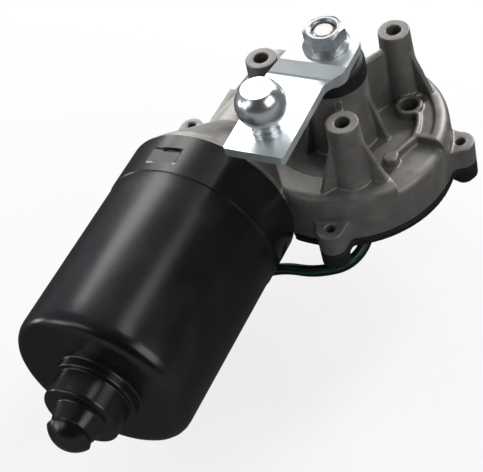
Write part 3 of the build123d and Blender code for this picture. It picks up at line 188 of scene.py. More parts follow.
azimuth, elevation = math.radians(view["azimuth"]), math.radians(view["elevation"])
level = math.cos(elevation)
back = Vector((math.sin(azimuth) * level, -math.cos(azimuth) * level, math.sin(elevation)))
right = Vector((math.cos(azimuth), math.sin(azimuth), 0))
up = back.cross(right)
roll = math.radians(view["roll"])
camRight = right * math.cos(roll) + up * math.sin(roll)
camUp = up * math.cos(roll) - right * math.sin(roll)
camera = bpy.data.objects.new("camera", bpy.data.cameras.new("camera"))
scene.collection.objects.link(camera)
camera.data.lens = view["lens"]
camera.data.sensor_width = view["sensor"]
camera.data.clip_start = 0.01
turned = Matrix((camRight, camUp, back)).transposed().to_4x4()
camera.matrix_world = Matrix.Translation(Vector(view["aim"]) + back * view["distance"]) @ turned
scene.camera = camera
print("camera placed")


# the lead: a soft sleeve with a green wire beside it

lead = {
    "exit": (-0.01002, -0.00764, -0.051),
    "sleeveRadius": 2.0,
    "greenRadius": 0.85,
    "greenRise": 3.15,
    "sleeveLength": 0.098,
    "greenLength": 0.098,
    # control points in mm: x, y, height over the joint plane
    "sleeve": [(-20.5, -15.4, -8.0), (-34.0, -13.2, -11.7), (-39.8, -1.5, -13.0),
               (-38.5, 11.0, -15.8), (-37.5, 23.0, -23.5), (-43.5, 33.5, -28.0),
               (-53.0, 38.0, -29.0), (-64.0, 38.0, -29.0)],
    "green": [(-21.2, -16.1, -5.0), (-35.9, -14.2, -9.7), (-42.0, -1.4, -10.9),
              (-40.7, 11.9, -13.7), (-39.9, 23.3, -21.4), (-45.3, 32.3, -25.5),
              (-53.5, 36.4, -26.3), (-64.0, 36.5, -26.2)],
}


def cordCurve(name, start, route, radius):
    curve = bpy.data.curves.new(name, "CURVE")
    curve.dimensions = "3D"
    points = [Vector(start)] + [Vector((x * mm, y * mm, joint["z"] + h * mm)) for x, y, h in route]
    spline = curve.splines.new("NURBS")
    spline.points.add(len(points) - 1)
    for point, where in zip(spline.points, points):
        point.co = (*where, 1.0)
    spline.order_u = 3
    spline.use_endpoint_u = True
    spline.resolution_u = 12
    curve.bevel_depth = radius * mm
    curve.bevel_resolution = 5
    curve.use_fill_caps = True
    return linkedObject(name, curve)


sleeve = cordCurve("leadSleeve", lead["exit"], lead["sleeve"], lead["sleeveRadius"])
greenStart = Vector(lead["exit"]) + Vector((0, 0, lead["greenRise"] * mm))
green = cordCurve("leadGreen", greenStart, lead["green"], lead["greenRadius"])


# materials

def startMaterial(name):
    material = bpy.data.materials.new(name)
    material.use_nodes = True
    tree = material.node_tree
    shader = tree.nodes["Principled BSDF"]
    where = addNode(tree, "ShaderNodeTexCoord").outputs["Object"]
    return material, tree, shader, where


def noise(tree, where, size, detail):
    return addNode(tree, "ShaderNodeTexNoise", {"Scale": perMm(size), "Detail": detail, "Roughness": 0.55},
                   {"Vector": where}).outputs["Fac"]


def ramp(tree, source, stops):
    node = addNode(tree, "ShaderNodeValToRGB", None, {"Fac": source})
    elements = node.color_ramp.elements
    while len(elements) < len(stops):
        elements.new(0.5)
    for element, (position, colour) in zip(elements, stops):
        element.position = position
        element.color = hexColour(colour)
    return node.outputs["Color"]


def spread(tree, source, low, high):  # noise value to a range
    return addNode(tree, "ShaderNodeMapRange", {"From Min": 0.25, "From Max": 0.75, "To Min": low, "To Max": high},
                   {"Value": source}).outputs["Result"]


def bump(tree, source, height, normal=None):
    links = {"Height": source}
    if normal is not None:
        links["Normal"] = normal
    return addNode(tree, "ShaderNodeBump", {"Distance": height * mm, "Strength": 1.0}, links).outputs["Normal"]


def mixedMaterial(name, spec):
    # one surface: three colours mottled by noise, roughness that varies, fine relief
    # sizes of mottle, grain and wave, and heights of relief, in mm
    material, tree, shader, where = startMaterial(name)
    broad = noise(tree, where, spec["mottle"], 4.0)
    colour = ramp(tree, broad, [(0.32, spec["dark"]), (0.55, spec["mid"]), (0.75, spec["light"])])
    tree.links.new(colour, shader.inputs["Base Color"])
    fine = noise(tree, where, spec["grain"], 2.0)
    tree.links.new(spread(tree, broad, *spec["rough"]), shader.inputs["Roughness"])
    normal = bump(tree, fine, spec["relief"])
    if "wave" in spec:
        normal = bump(tree, noise(tree, where, spec["wave"][0], 2.0), spec["wave"][1], normal)
    tree.links.new(normal, shader.inputs["Normal"])
    shader.inputs["Metallic"].default_value = spec.get("metal", 0.0)
    if "specular" in spec:
        shader.inputs["Specular IOR Level"].default_value = spec["specular"]
    return material


finishes = {
    # stoving paint on drawn steel: nearly black, slight orange peel, broad soft highlights
    "black_paint": ("stovingPaint", {"dark": "#141518", "mid": "#18191C", "light": "#1D1E21", "mottle": 9.0,
                                     "grain": 0.5, "rough": (0.23, 0.28), "relief": 0.002, "wave": (3.0, 0.008),
                                     "specular": 0.5}),
    # blasted die casting: grey skin with a trace of warmth, fine grit, soft flow marks
    "cast_body": ("castAluminium", {"dark": "#7F7C78", "mid": "#8B8884", "light": "#989591", "mottle": 5.0,
                                    "grain": 0.30, "rough": (0.46, 0.56), "relief": 0.022, "wave": (2.4, 0.03),
                                    "metal": 0.7}),
    # bright zinc with a clear passivation on pressed steel: pale, a little milky and bluish
    "bright_zinc": ("pressedZinc", {"dark": "#D9E0E2", "mid": "#DFE6E8", "light": "#E5EBED", "mottle": 8.0,
                                    "grain": 0.35, "rough": (0.28, 0.33), "relief": 0.002, "wave": (7.0, 0.01),
                                    "metal": 0.75}),
    # turned ball with the same plating, rubbed smoother
    "polished_zinc": ("polishedZinc", {"dark": "#D6DBDE", "mid": "#DCE1E4", "light": "#E2E6E9", "mottle": 5.0,
                                       "grain": 0.3, "rough": (0.22, 0.26), "relief": 0.001, "metal": 0.85}),
    # the same plating on a forged nut: a little greyer and duller than the arm
    "zinc_nut": ("forgedZincNut", {"dark": "#ACB2B5", "mid": "#B6BCBF", "light": "#C0C5C8", "mottle": 3.0,
                                   "grain": 0.3, "rough": (0.28, 0.34), "relief": 0.003, "metal": 0.8}),
    # thread-rolled zinc screws: darker, uneven and a little worn
    "zinc_screw": ("zincScrew", {"dark": "#8D9396", "mid": "#A9AEB2", "light": "#BEC3C7", "mottle": 1.8,
                                 "grain": 0.25, "rough": (0.28, 0.42), "relief": 0.006, "metal": 1.0}),
    # turned and ground shaft: pale, clean, with a trace of warmth
    "ground_steel": ("groundSteel", {"dark": "#BBB6B0", "mid": "#C6C2BD", "light": "#D0CCC8", "mottle": 4.0,
                                     "grain": 0.3, "rough": (0.30, 0.34), "relief": 0.0005, "metal": 0.9}),
    # stacked silicon sheet: dull dark grey
    "laminated_steel": ("siliconSheet", {"dark": "#55575A", "mid": "#6C6E71", "light": "#808285", "mottle": 3.0,
                                         "grain": 0.3, "rough": (0.38, 0.52), "relief": 0.01, "metal": 0.9}),
    # drawn spring wire and strip: mid grey with a satin shine
    "spring_steel": ("springSteel", {"dark": "#777C80", "mid": "#8F9498", "light": "#A5A9AD", "mottle": 2.5,
                                     "grain": 0.2, "rough": (0.26, 0.40), "relief": 0.004, "metal": 1.0}),
    # sintered magnets: almost black and chalky
    "ferrite": ("sinteredFerrite", {"dark": "#2C2B2D", "mid": "#3A393B", "light": "#474648", "mottle": 4.0,
                                    "grain": 0.35, "rough": (0.55, 0.75), "relief": 0.02}),
    # oil-soaked bushes: brown gold with fine pores
    "sintered_bronze": ("oiledBronze", {"dark": "#7E6340", "mid": "#9A7B50", "light": "#AD8E61", "mottle": 1.2,
                                        "grain": 0.2, "rough": (0.35, 0.55), "relief": 0.012, "metal": 0.9}),
    # bare commutator copper: orange with a soft shine
    "copper": ("bareCopper", {"dark": "#9A5836", "mid": "#B87349", "light": "#CB8A60", "mottle": 2.0,
                              "grain": 0.2, "rough": (0.22, 0.38), "relief": 0.004, "metal": 1.0}),
    # enamelled windings: deep red brown in fine strands
    "copper_coil": ("enamelledCopper", {"dark": "#7C3E1E", "mid": "#9C5730", "light": "#B36C40", "mottle": 1.0,
                                        "grain": 0.4, "rough": (0.28, 0.42), "relief": 0.05, "metal": 0.8}),
    # pressed contact brass: dull yellow
    "brass": ("pressedBrass", {"dark": "#9C7D42", "mid": "#B9975A", "light": "#CBAB70", "mottle": 2.4,
                               "grain": 0.2, "rough": (0.24, 0.38), "relief": 0.004, "metal": 1.0}),
    # tinned terminals: pale and a little yellow
    "tinned_brass": ("tinPlate", {"dark": "#AAA79F", "mid": "#C6C3BA", "light": "#D6D3CB", "mottle": 1.6,
                                  "grain": 0.2, "rough": (0.24, 0.38), "relief": 0.003, "metal": 1.0}),
    # copper-filled carbon brushes: matt, nearly black, with warm specks
    "carbon": ("copperGraphite", {"dark": "#1C1C1E", "mid": "#29282A", "light": "#3A3532", "mottle": 0.6,
                                  "grain": 0.2, "rough": (0.40, 0.60), "relief": 0.015}),
    # phenolic brush card: brown and satin
    "card_laminate": ("mouldedPhenolic", {"dark": "#38291D", "mid": "#493829", "light": "#574535", "mottle": 2.0,
                                          "grain": 0.3, "rough": (0.40, 0.55), "relief": 0.01}),
    # natural acetal wheel: off-white and waxy
    "white_plastic": ("naturalAcetal", {"dark": "#C9C5B8", "mid": "#DAD7CD", "light": "#E4E2DA", "mottle": 6.0,
                                        "grain": 0.4, "rough": (0.34, 0.46), "relief": 0.005}),
    # glass-filled nylon cover: black, matt, faintly rippled
    "black_plastic": ("glassFilledNylon", {"dark": "#141516", "mid": "#191A1B", "light": "#212223", "mottle": 2.4,
                                           "grain": 0.25, "rough": (0.42, 0.56), "relief": 0.015,
                                           "wave": (1.2, 0.01)}),
    # moulded rubber cap: black, soft and dull
    "black_rubber": ("mouldedRubber", {"dark": "#101011", "mid": "#151516", "light": "#1D1D1E", "mottle": 2.2,
                                       "grain": 0.3, "rough": (0.48, 0.64), "relief": 0.02}),
    # sheet rubber gasket: a little greyer and duller
    "gasket_rubber": ("sheetRubber", {"dark": "#1A1B1C", "mid": "#202122", "light": "#2A2B2C", "mottle": 1.6,
                                      "grain": 0.3, "rough": (0.55, 0.72), "relief": 0.02}),
    # soft sleeve: black with a dull sheen and small waves
    "black_sleeve": ("softSleeve", {"dark": "#0D0E0F", "mid": "#121314", "light": "#1A1B1C", "mottle": 2.4,
                                    "grain": 0.4, "rough": (0.34, 0.48), "relief": 0.012, "wave": (1.8, 0.03)}),
    # wire skin: dark green and smooth
    "green_wire": ("greenWireSkin", {"dark": "#0C3A30", "mid": "#124A3D", "light": "#1B5A4B", "mottle": 2.0,
                                     "grain": 0.3, "rough": (0.28, 0.40), "relief": 0.006}),
    # oiled felt: buff and fibrous
    "oil_felt": ("oiledFelt", {"dark": "#94866A", "mid": "#B3A283", "light": "#C4B597", "mottle": 0.8,
                               "grain": 0.2, "rough": (0.80, 0.95), "relief": 0.08}),
}
materials = {slot: mixedMaterial(name, spec) for slot, (name, spec) in finishes.items()}

for subpart in frame["record"]["subparts"]:
    node = nodes[subpart["node"]]
    material = materials[subpart["material_slot"]]
    node.data.materials.clear()
    node.data.materials.append(material)
print("materials made:", len(materials))


# smooth shading for the CAD nodes

def shadingTree():
    tree = bpy.data.node_groups.new("smoothShading", "GeometryNodeTree")
    tree.interface.new_socket("Geometry", in_out="INPUT", socket_type="NodeSocketGeometry")
    angle = tree.interface.new_socket("Angle", in_out="INPUT", socket_type="NodeSocketFloat")
    angle.default_value = math.radians(30)
    tree.interface.new_socket("Geometry", in_out="OUTPUT", socket_type="NodeSocketGeometry")
    start = addNode(tree, "NodeGroupInput")
    end = addNode(tree, "NodeGroupOutput")
    merged = addNode(tree, "GeometryNodeMergeByDistance", {"Distance": weld},
                     {"Geometry": start.outputs["Geometry"]})
    smooth = addNode(tree, "GeometryNodeSetShadeSmooth", None, {"Geometry": merged.outputs["Geometry"]})
    fold = addNode(tree, "GeometryNodeInputMeshEdgeAngle")
    sharp = addNode(tree, "FunctionNodeCompare", {"data_type": "FLOAT", "operation": "GREATER_THAN"},
                    {0: fold.outputs["Unsigned Angle"], 1: start.outputs["Angle"]})
    edges = addNode(tree, "GeometryNodeSetShadeSmooth", {"domain": "EDGE", "Shade Smooth": False},
                    {"Geometry": smooth.outputs["Geometry"], "Selection": sharp.outputs["Result"]})
    tree.links.new(edges.outputs["Geometry"], end.inputs["Geometry"])
    return tree


shading = shadingTree()
for node in nodes.values():
    modifier = node.modifiers.new("smoothShading", "NODES")
    modifier.node_group = shading


# cord pieces

place(sleeve, "black_sleeve", "housing", "lead_sleeve")
place(green, "green_wire", "housing", "lead_green")
print("lead made")


# motor can: lathed shell with three lanced tabs

can = {
    "flangeX": -36.0, "r": 30.0, "wall": 1.8, "rimStep": 0.3, "rimX": -52.4, "endX": -116.0,
    "shoulderR": 5.0, "drumBaseR": 14.3, "drumBaseX": -119.4, "drumR": 12.7, "drumX": -128.0,
    "noseRootR": 8.8, "waistX": -133.3, "waistR": 6.9, "beadX": -135.0, "beadR": 7.4, "tipX": -139.1,
    "tabAngles": (78.5, 198.5, 318.5), "tabFrom": -48.4, "tabTo": -42.0, "tabWidth": 12.0,
    "tabFlat": 29.6, "tabTilt": 2.5,
    "slit": 0.9, "slitWidth": 6.6, "slitShift": 2.0, "slitDepth": 1.3, "edge": 0.35,
    "rimSlope": 0.15, "fineStep": 0.25, "coarseStep": 4.0, "tipSteps": 10, "innerSteps": 8,
}


def ramped(value, low, high, edge):  # 1 inside low..high, 0 outside, soft over edge
    inside = min((value - low) / edge, (high - value) / edge)
    t = max(0.0, min(1.0, inside + 0.5))
    return t * t * (3 - 2 * t)


def canShift(x, r, turn):
    if r < can["r"] - 0.1 or x < can["tabFrom"] - 1 or x > can["tabTo"] + 1:
        return 0.0
    best = 0.0
    half = can["tabWidth"] / 2
    for angle in can["tabAngles"]:
        off = math.radians((math.degrees(turn) - angle + 180) % 360 - 180)
        if abs(off) > 0.5:
            continue
        across = off * can["r"]
        floor = ramped(across, -half, half, can["edge"]) * ramped(x, can["tabFrom"], can["tabTo"], can["edge"])
        # the pressed floor is flat and leans a little, so it catches the light as one patch
        flat = can["tabFlat"] / math.cos(off - math.radians(can["tabTilt"])) - r
        middle = can["slitShift"]
        slit = (ramped(across, middle - can["slitWidth"] / 2, middle + can["slitWidth"] / 2, can["edge"])
                * ramped(x, can["tabTo"] - can["slit"], can["tabTo"], can["edge"]))
        best = min(best, min(flat, 0.0) * floor, -can["slitDepth"] * slit)
    return best


def canProfile():
    c = can
    outer = roundedProfile([
        (c["flangeX"], c["r"] + c["rimStep"], 0),
        (c["rimX"] + c["rimSlope"], c["r"] + c["rimStep"], 0.12),
        (c["rimX"] - c["rimSlope"], c["r"], 0.12),
        (c["endX"], c["r"], c["shoulderR"]),
        (c["endX"], c["drumBaseR"], 1.0),
        (c["drumBaseX"], c["drumBaseR"], 1.3),
        (c["drumBaseX"], c["drumR"], 0.5),
        (c["drumX"], c["drumR"], 1.3),
        (c["drumX"], c["noseRootR"], 0.9),
        (c["waistX"], c["waistR"], 0.8),
        (c["beadX"], c["beadR"], 0),
    ])
    dense = []
    for a, b in zip(outer, outer[1:]):
        dense.append(a)
        if min(a.y, b.y) > c["r"] - 0.2 and (b - a).length > 1:
            step = c["fineStep"] if b.x > c["rimX"] - 1 else c["coarseStep"]
            steps = int((b - a).length / step)
            dense += [a.lerp(b, s / steps) for s in range(1, steps)]
    # the domed tip
    rise = c["beadX"] - c["tipX"]
    domeR = (c["beadR"] ** 2 + rise ** 2) / (2 * rise)
    domeX = c["tipX"] + domeR
    reach = math.asin(c["beadR"] / domeR)

    def onDome(radius, angle):
        return Vector((domeX - radius * math.cos(angle), radius * math.sin(angle)))

    tip = [onDome(domeR, reach * (1 - s / c["tipSteps"])) for s in range(c["tipSteps"] + 1)]
    inner = [onDome(domeR - c["wall"], 0.8 * reach * s / c["innerSteps"]) for s in range(c["innerSteps"] + 1)]
    inner += [Vector(p) for p in [
        (c["waistX"], c["waistR"] - c["wall"]), (c["drumX"] + c["wall"], c["noseRootR"] - c["wall"]),
        (c["drumX"] + c["wall"], c["drumR"] - c["wall"]), (c["endX"] + c["wall"], c["drumR"] - c["wall"]),
        (c["endX"] + c["wall"], c["r"] - c["shoulderR"]), (c["endX"] + c["shoulderR"], c["r"] - c["wall"]),
        (c["flangeX"], c["r"] - c["wall"])]]
    return dense + tip + inner


canShell = latheMesh("canShell", canProfile(), 420, alongMotor, canShift)
smoothByAngle(canShell, 40)
place(canShell, "black_paint", "housing", "motor_can")
print("can made")


# pieces whose edges are softened: a fine remesh, smoothed, then thinned out again

softened = {
    "castHousing": {"node": "gear_housing", "voxel": 0.31, "smooth": 9, "share": 0.20, "slot": "cast_body"},
    "rubberCap": {"node": "rubber_cap", "voxel": 0.22, "smooth": 5, "share": 0.35, "slot": "black_rubber"},
    "gearCover": {"node": "gear_cover", "voxel": 0.36, "smooth": 4, "share": 0.30, "slot": "black_plastic"},
}


def soften(pieceName, spec):
    piece = mergedCopy(spec["node"], pieceName)
    remesh = piece.modifiers.new("remesh", "REMESH")
    remesh.mode = "VOXEL"
    remesh.voxel_size = spec["voxel"] * mm * 1.0  # voxel size as listed
    remesh.use_smooth_shade = True
    blur = piece.modifiers.new("blur", "SMOOTH")
    blur.factor = 0.5
    blur.iterations = spec["smooth"]
    thin = piece.modifiers.new("thin", "DECIMATE")
    thin.ratio = spec["share"]
    evaluatedMesh(piece, pieceName)
    smoothByAngle(piece, 60)
    place(piece, spec["slot"], "housing", spec["node"])
    print(pieceName, "made:", len(piece.data.polygons))


for pieceName, spec in softened.items():
    soften(pieceName, spec)


# pressed and forged pieces whose sharp edges are rounded off

rounded = {
    "crankArm": {"node": "crank_arm", "radius": 0.75, "sharp": 32, "weight": 90, "slot": "bright_zinc"},
    "crankNut": {"node": "crank_nut", "radius": 0.35, "sharp": 24, "weight": 0, "slot": "zinc_nut"},
}


def roundOff(pieceName, spec):
    piece = mergedCopy(spec["node"], pieceName)
    bm = bmesh.new()
    bm.from_mesh(piece.data)
    bmesh.ops.dissolve_limit(bm, angle_limit=math.radians(0.6), verts=bm.verts, edges=bm.edges)
    bm.to_mesh(piece.data)
    bm.free()
    bevel = piece.modifiers.new("bevel", "BEVEL")
    bevel.width = spec["radius"] * mm
    bevel.segments = 4
    bevel.limit_method = "ANGLE"
    bevel.angle_limit = math.radians(spec["sharp"])
    bevel.use_clamp_overlap = True
    if spec["weight"]:  # broad flats stay flat beside the rounded edges
        piece.data.shade_smooth()
        weighted = piece.modifiers.new("weighted", "WEIGHTED_NORMAL")
        weighted.weight = spec["weight"]
    evaluatedMesh(piece, pieceName)
    if not spec["weight"]:
        smoothByAngle(piece, 30)
    place(piece, spec["slot"], "output", spec["node"])
    print(pieceName, "made:", len(piece.data.polygons))


for pieceName, spec in rounded.items():
    roundOff(pieceName, spec)


# ball stud: turned, with the flat on its ball

throw, armAngle = 37.6, math.radians(173)  # ball's distance from the output axis, and the arm's direction at rest
stud = {
    "x": throw * math.cos(armAngle), "y": throw * math.sin(armAngle),
    "low": 2.6, "shelf": 7.0, "ballZ": 18.2, "ballR": 8.0, "flatR": 5.1, "neckR": 4.1,
    "collarR": 4.7, "collarT": 2.2, "shankR": 5.0, "headR": 6.2, "headT": 3.2, "rimRound": 0.25, "ballSteps": 48,
}


def studProfile():
    c = stud
    flatZ = c["ballZ"] + math.sqrt(c["ballR"] ** 2 - c["flatR"] ** 2)
    neckZ = c["ballZ"] - math.sqrt(c["ballR"] ** 2 - c["neckR"] ** 2)
    underside = c["shelf"] - c["headT"]
    stem = roundedProfile([
        (c["low"], 0, 0), (c["low"], c["headR"], 0.4), (underside, c["headR"], 0.2),
        (underside, c["shankR"], 0), (c["shelf"], c["shankR"], 0), (c["shelf"], c["collarR"], 0.2),
        (c["shelf"] + c["collarT"], c["collarR"], 0.5), (c["shelf"] + c["collarT"] + 0.4, c["neckR"], 0.4),
        (neckZ, c["neckR"], 0)])
    start = math.atan2(c["neckR"], -(c["ballZ"] - neckZ))
    end = math.atan2(c["flatR"] + c["rimRound"], flatZ - c["ballZ"])
    ball = []
    for s in range(1, c["ballSteps"] + 1):
        turn = start + (end - start) * s / c["ballSteps"]
        ball.append(Vector((c["ballZ"] + c["ballR"] * math.cos(turn), c["ballR"] * math.sin(turn))))
    rim = roundedProfile([(*ball[-1], 0), (flatZ, c["flatR"], c["rimRound"]),
                          (flatZ, c["flatR"] - 2 * c["rimRound"], 0)], 4)
    # one more ring on the flat keeps its shading flat
    return stem + ball + rim[1:] + [Vector((flatZ, c["flatR"] - 3 * c["rimRound"])), Vector((flatZ, 0))]


onArm = Matrix.Translation((stud["x"] * mm, stud["y"] * mm, 0)) @ standing
ballPiece = latheMesh("ballStud", studProfile(), 96, onArm)
smoothByAngle(ballPiece, 35)
place(ballPiece, "polished_zinc", "output", "ball_stud")
print("ball stud made")


# cover screws: one turned blank, slotted, threaded and set out round the ears

screws = {
    "Count": 3, "Circle radius": 38.2 * mm, "First angle": math.radians(194), "Angle step": math.radians(92),
    "Head base": -51.4 * mm, "Slot width": 0.8 * mm, "Slot depth": 1.0 * mm, "Head radius": 3.6 * mm,
    "Thread start": 3.0 * mm, "Thread length": 10.4 * mm, "Thread turns": 8.3, "Thread radius": 1.38 * mm,
    "Thread ridge": 0.2 * mm,
}
screwBlank = {"headR": 3.6, "headT": 2.0, "rootR": 1.38, "length": 14.0, "point": 0.8}


def screwProfile():
    c = screwBlank
    return roundedProfile([
        (0, 0, 0), (0, c["headR"] - 0.5, 0.3), (0.9, c["headR"], 0.6), (c["headT"], c["headR"], 0.1),
        (c["headT"], c["rootR"], 0.15), (c["length"] - c["point"], c["rootR"], 0.2),
        (c["length"], c["rootR"] - 0.6, 0.1), (c["length"], 0, 0)], 3)


def screwTree(material):
    tree = bpy.data.node_groups.new("screwPattern", "GeometryNodeTree")
    tree.interface.new_socket("Geometry", in_out="OUTPUT", socket_type="NodeSocketGeometry")
    tree.interface.new_socket("Blank", in_out="INPUT", socket_type="NodeSocketObject")
    for name in screws:
        kind = "NodeSocketInt" if name == "Count" else "NodeSocketFloat"
        tree.interface.new_socket(name, in_out="INPUT", socket_type=kind)
    given = addNode(tree, "NodeGroupInput").outputs

    def maths(operation, a, b=0.0):
        node = addNode(tree, "ShaderNodeMath", {"operation": operation})
        for slotIndex, value in enumerate((a, b)):
            if isinstance(value, (int, float)):
                node.inputs[slotIndex].default_value = value
            else:
                tree.links.new(value, node.inputs[slotIndex])
        return node.outputs[0]

    def vector(**parts):
        return addNode(tree, "ShaderNodeCombineXYZ", None, parts).outputs[0]

    blank = addNode(tree, "GeometryNodeObjectInfo", None, {"Object": given["Blank"]}).outputs["Geometry"]
    cutter = addNode(tree, "GeometryNodeMeshCube", None, {
        "Size": vector(X=maths("MULTIPLY", given["Head radius"], 2.4), Y=given["Slot width"],
                       Z=maths("MULTIPLY", given["Slot depth"], 2.0))})
    cut = addNode(tree, "GeometryNodeMeshBoolean", {"operation": "DIFFERENCE"}, {
        "Mesh 1": blank, "Mesh 2": cutter.outputs["Mesh"]})
    spiral = addNode(tree, "GeometryNodeCurveSpiral", {"Resolution": 18}, {
        "Rotations": given["Thread turns"], "Start Radius": given["Thread radius"],
        "End Radius": given["Thread radius"], "Height": given["Thread length"]})
    lifted = addNode(tree, "GeometryNodeTransform", None, {
        "Geometry": spiral.outputs["Curve"], "Translation": vector(Z=given["Thread start"])})
    section = addNode(tree, "GeometryNodeCurvePrimitiveCircle", {"Resolution": 4}, {"Radius": given["Thread ridge"]})
    thread = addNode(tree, "GeometryNodeCurveToMesh", {"Fill Caps": True}, {
        "Curve": lifted.outputs["Geometry"], "Profile Curve": section.outputs["Curve"]})
    screw = addNode(tree, "GeometryNodeJoinGeometry")
    tree.links.new(cut.outputs["Mesh"], screw.inputs[0])
    tree.links.new(thread.outputs["Mesh"], screw.inputs[0])

    index = addNode(tree, "GeometryNodeInputIndex").outputs[0]
    angle = maths("ADD", given["First angle"], maths("MULTIPLY", given["Angle step"], index))
    spot = vector(X=maths("MULTIPLY", given["Circle radius"], maths("COSINE", angle)),
                  Y=maths("MULTIPLY", given["Circle radius"], maths("SINE", angle)), Z=given["Head base"])
    points = addNode(tree, "GeometryNodePoints", None, {"Count": given["Count"], "Position": spot})
    pattern = addNode(tree, "GeometryNodeInstanceOnPoints", None, {
        "Points": points.outputs[0], "Instance": screw.outputs[0], "Rotation": vector(Z=angle)})
    real = addNode(tree, "GeometryNodeRealizeInstances", None, {"Geometry": pattern.outputs[0]})
    coloured = addNode(tree, "GeometryNodeSetMaterial", {"Material": material}, {"Geometry": real.outputs[0]})
    end = addNode(tree, "NodeGroupOutput")
    tree.links.new(coloured.outputs[0], end.inputs["Geometry"])
    return tree


def makeScrews():
    blank = latheMesh("screwBlank", screwProfile(), 40, standing)
    piece = linkedObject("coverScrews", bpy.data.meshes.new("coverScrews"))
    pattern = piece.modifiers.new("pattern", "NODES")
    pattern.node_group = screwTree(materials["zinc_screw"])
    for item in pattern.node_group.interface.items_tree:
        if item.in_out == "INPUT":
            pattern[item.identifier] = blank if item.name == "Blank" else screws[item.name]
    evaluatedMesh(piece, "coverScrews")
    bpy.data.objects.remove(blank)
    smoothByAngle(piece, 35)
    place(piece, "zinc_screw", "housing", "cover_screws")
    print("cover screws made:", len(piece.data.polygons))


makeScrews()


# floor, light and background

studio = {
    "floorZ": -77.9, "paper": "#F2F2F2", "glow": 0.8,
    "toward": (0.35, 0.80, 0.49),  # the side of the room that is bright
    "dark": 0.0, "bright": 0.37,
    "floorDark": 0.06, "floorBright": 0.16, "floorFront": 0.25,
    "reach": 3.0, "aim": (-0.05, 0.02, -0.03),
}


def glowAlong(tree, where, direction, span, levels):  # brightness that changes from level to level in one direction
    along = addNode(tree, "ShaderNodeVectorMath", {"operation": "DOT_PRODUCT", 1: direction}, {0: where})
    return addNode(tree, "ShaderNodeMapRange",
                   {"interpolation_type": "SMOOTHSTEP", "From Min": span[0], "From Max": span[1],
                    "To Min": levels[0], "To Max": levels[1]},
                   {"Value": along.outputs["Value"]}).outputs["Result"]


floorMesh = bpy.data.meshes.new("floor")
corners = [(-1, -1), (1, -1), (1, 1), (-1, 1)]
floorMesh.from_pydata([(x * studio["reach"], y * studio["reach"], studio["floorZ"] * mm) for x, y in corners],
                      [], [(0, 1, 2, 3)])
floor = linkedObject("floor", floorMesh)
paper = bpy.data.materials.new("paperFloor")
paper.use_nodes = True
tree = paper.node_tree
tree.nodes.clear()
diffuse = addNode(tree, "ShaderNodeBsdfDiffuse", {"Color": hexColour(studio["paper"])})
glow = addNode(tree, "ShaderNodeEmission", {"Color": (1, 1, 1, 1), "Strength": 1.0})
rays = addNode(tree, "ShaderNodeLightPath")
share = addNode(tree, "ShaderNodeMath", {"operation": "MULTIPLY", 1: studio["glow"]},
                {0: rays.outputs["Is Camera Ray"]})
seen = addNode(tree, "ShaderNodeMixShader", None, {0: share.outputs[0], 1: diffuse.outputs[0], 2: glow.outputs[0]})
across = addNode(tree, "ShaderNodeTexCoord").outputs["Object"]
# painted reflection: polished faces see the floor glow, dim near the object as painted shade and brighter further
# behind and before it
behind = glowAlong(tree, across, (0.45, 0.89, 0), (0.05, 0.6), (studio["floorDark"], studio["floorBright"]))
before = glowAlong(tree, across, (-0.85, -0.52, 0), (0.05, 0.22), (0.0, studio["floorFront"]))
both = addNode(tree, "ShaderNodeMath", {"operation": "ADD"}, {0: behind, 1: before})
mirrored = addNode(tree, "ShaderNodeEmission", {"Color": (1, 1, 1, 1)}, {"Strength": both.outputs[0]})
final = addNode(tree, "ShaderNodeMixShader", None,
                {0: rays.outputs["Is Glossy Ray"], 1: seen.outputs[0], 2: mirrored.outputs[0]})
addNode(tree, "ShaderNodeOutputMaterial", None, {"Surface": final.outputs[0]})
floor.data.materials.append(paper)

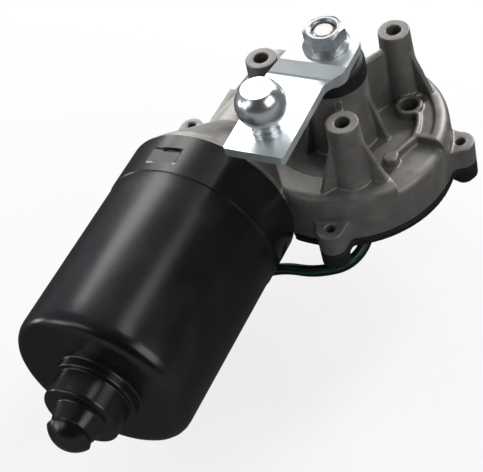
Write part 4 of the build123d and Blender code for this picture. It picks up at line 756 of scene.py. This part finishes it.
world = bpy.data.worlds.new("studioWorld")
scene.world = world
world.use_nodes = True
tree = world.node_tree
tree.nodes.clear()
rays = addNode(tree, "ShaderNodeLightPath")
direction = addNode(tree, "ShaderNodeTexCoord").outputs["Generated"]
white = addNode(tree, "ShaderNodeBackground", {"Color": (1, 1, 1, 1), "Strength": 1.0})
roomLevel = glowAlong(tree, direction, studio["toward"], (-0.1, 0.95), (studio["dark"], studio["bright"]))
room = addNode(tree, "ShaderNodeBackground", {"Color": hexColour("#E9EEF4")}, {"Strength": roomLevel})
mix = addNode(tree, "ShaderNodeMixShader", None,
              {0: rays.outputs["Is Camera Ray"], 1: room.outputs[0], 2: white.outputs[0]})
addNode(tree, "ShaderNodeOutputWorld", None, {"Surface": mix.outputs[0]})


def softbox(name, direction, distance, size, power):
    data = bpy.data.lights.new(name, "AREA")
    data.shape = "RECTANGLE"
    data.size, data.size_y = size
    data.energy = power
    obj = bpy.data.objects.new(name, data)
    scene.collection.objects.link(obj)
    where = Vector(direction).normalized()
    obj.location = Vector(studio["aim"]) + where * distance
    obj.rotation_mode = "QUATERNION"
    obj.rotation_quaternion = where.to_track_quat("Z", "Y")


lamps = {  # direction, distance and size in metres, watts
    "keyBox": ((0.54, 0.54, 0.64), 0.9, (0.34, 0.26), 1.25),
    "armBox": ((0.64, 0.36, 0.68), 0.9, (0.28, 0.24), 0.33),
    "rightBox": ((0.85, -0.25, 0.45), 1.0, (0.26, 0.40), 7.1),
    "backRightBox": ((0.75, 0.62, 0.25), 1.0, (0.40, 0.30), 4.0),
    "frontBox": ((-0.10, -0.85, 0.50), 1.0, (0.70, 0.50), 3.2),
    "leftBackBox": ((-0.65, 0.70, 0.30), 1.0, (0.35, 0.30), 1.2),
    "leftBox": ((-0.28, 0.96, 0.08), 0.9, (0.22, 0.16), 0.8),
    "bendBox": ((-0.68, 0.45, 0.60), 1.0, (0.35, 0.35), 0.7),
    "topBox": ((0.35, -0.40, 0.85), 1.0, (0.35, 0.20), 0.6),
}
for name, (toward, distance, size, power) in lamps.items():
    softbox(name, toward, distance, size, power)
print("studio made")


scene.view_settings.view_transform = "Standard"
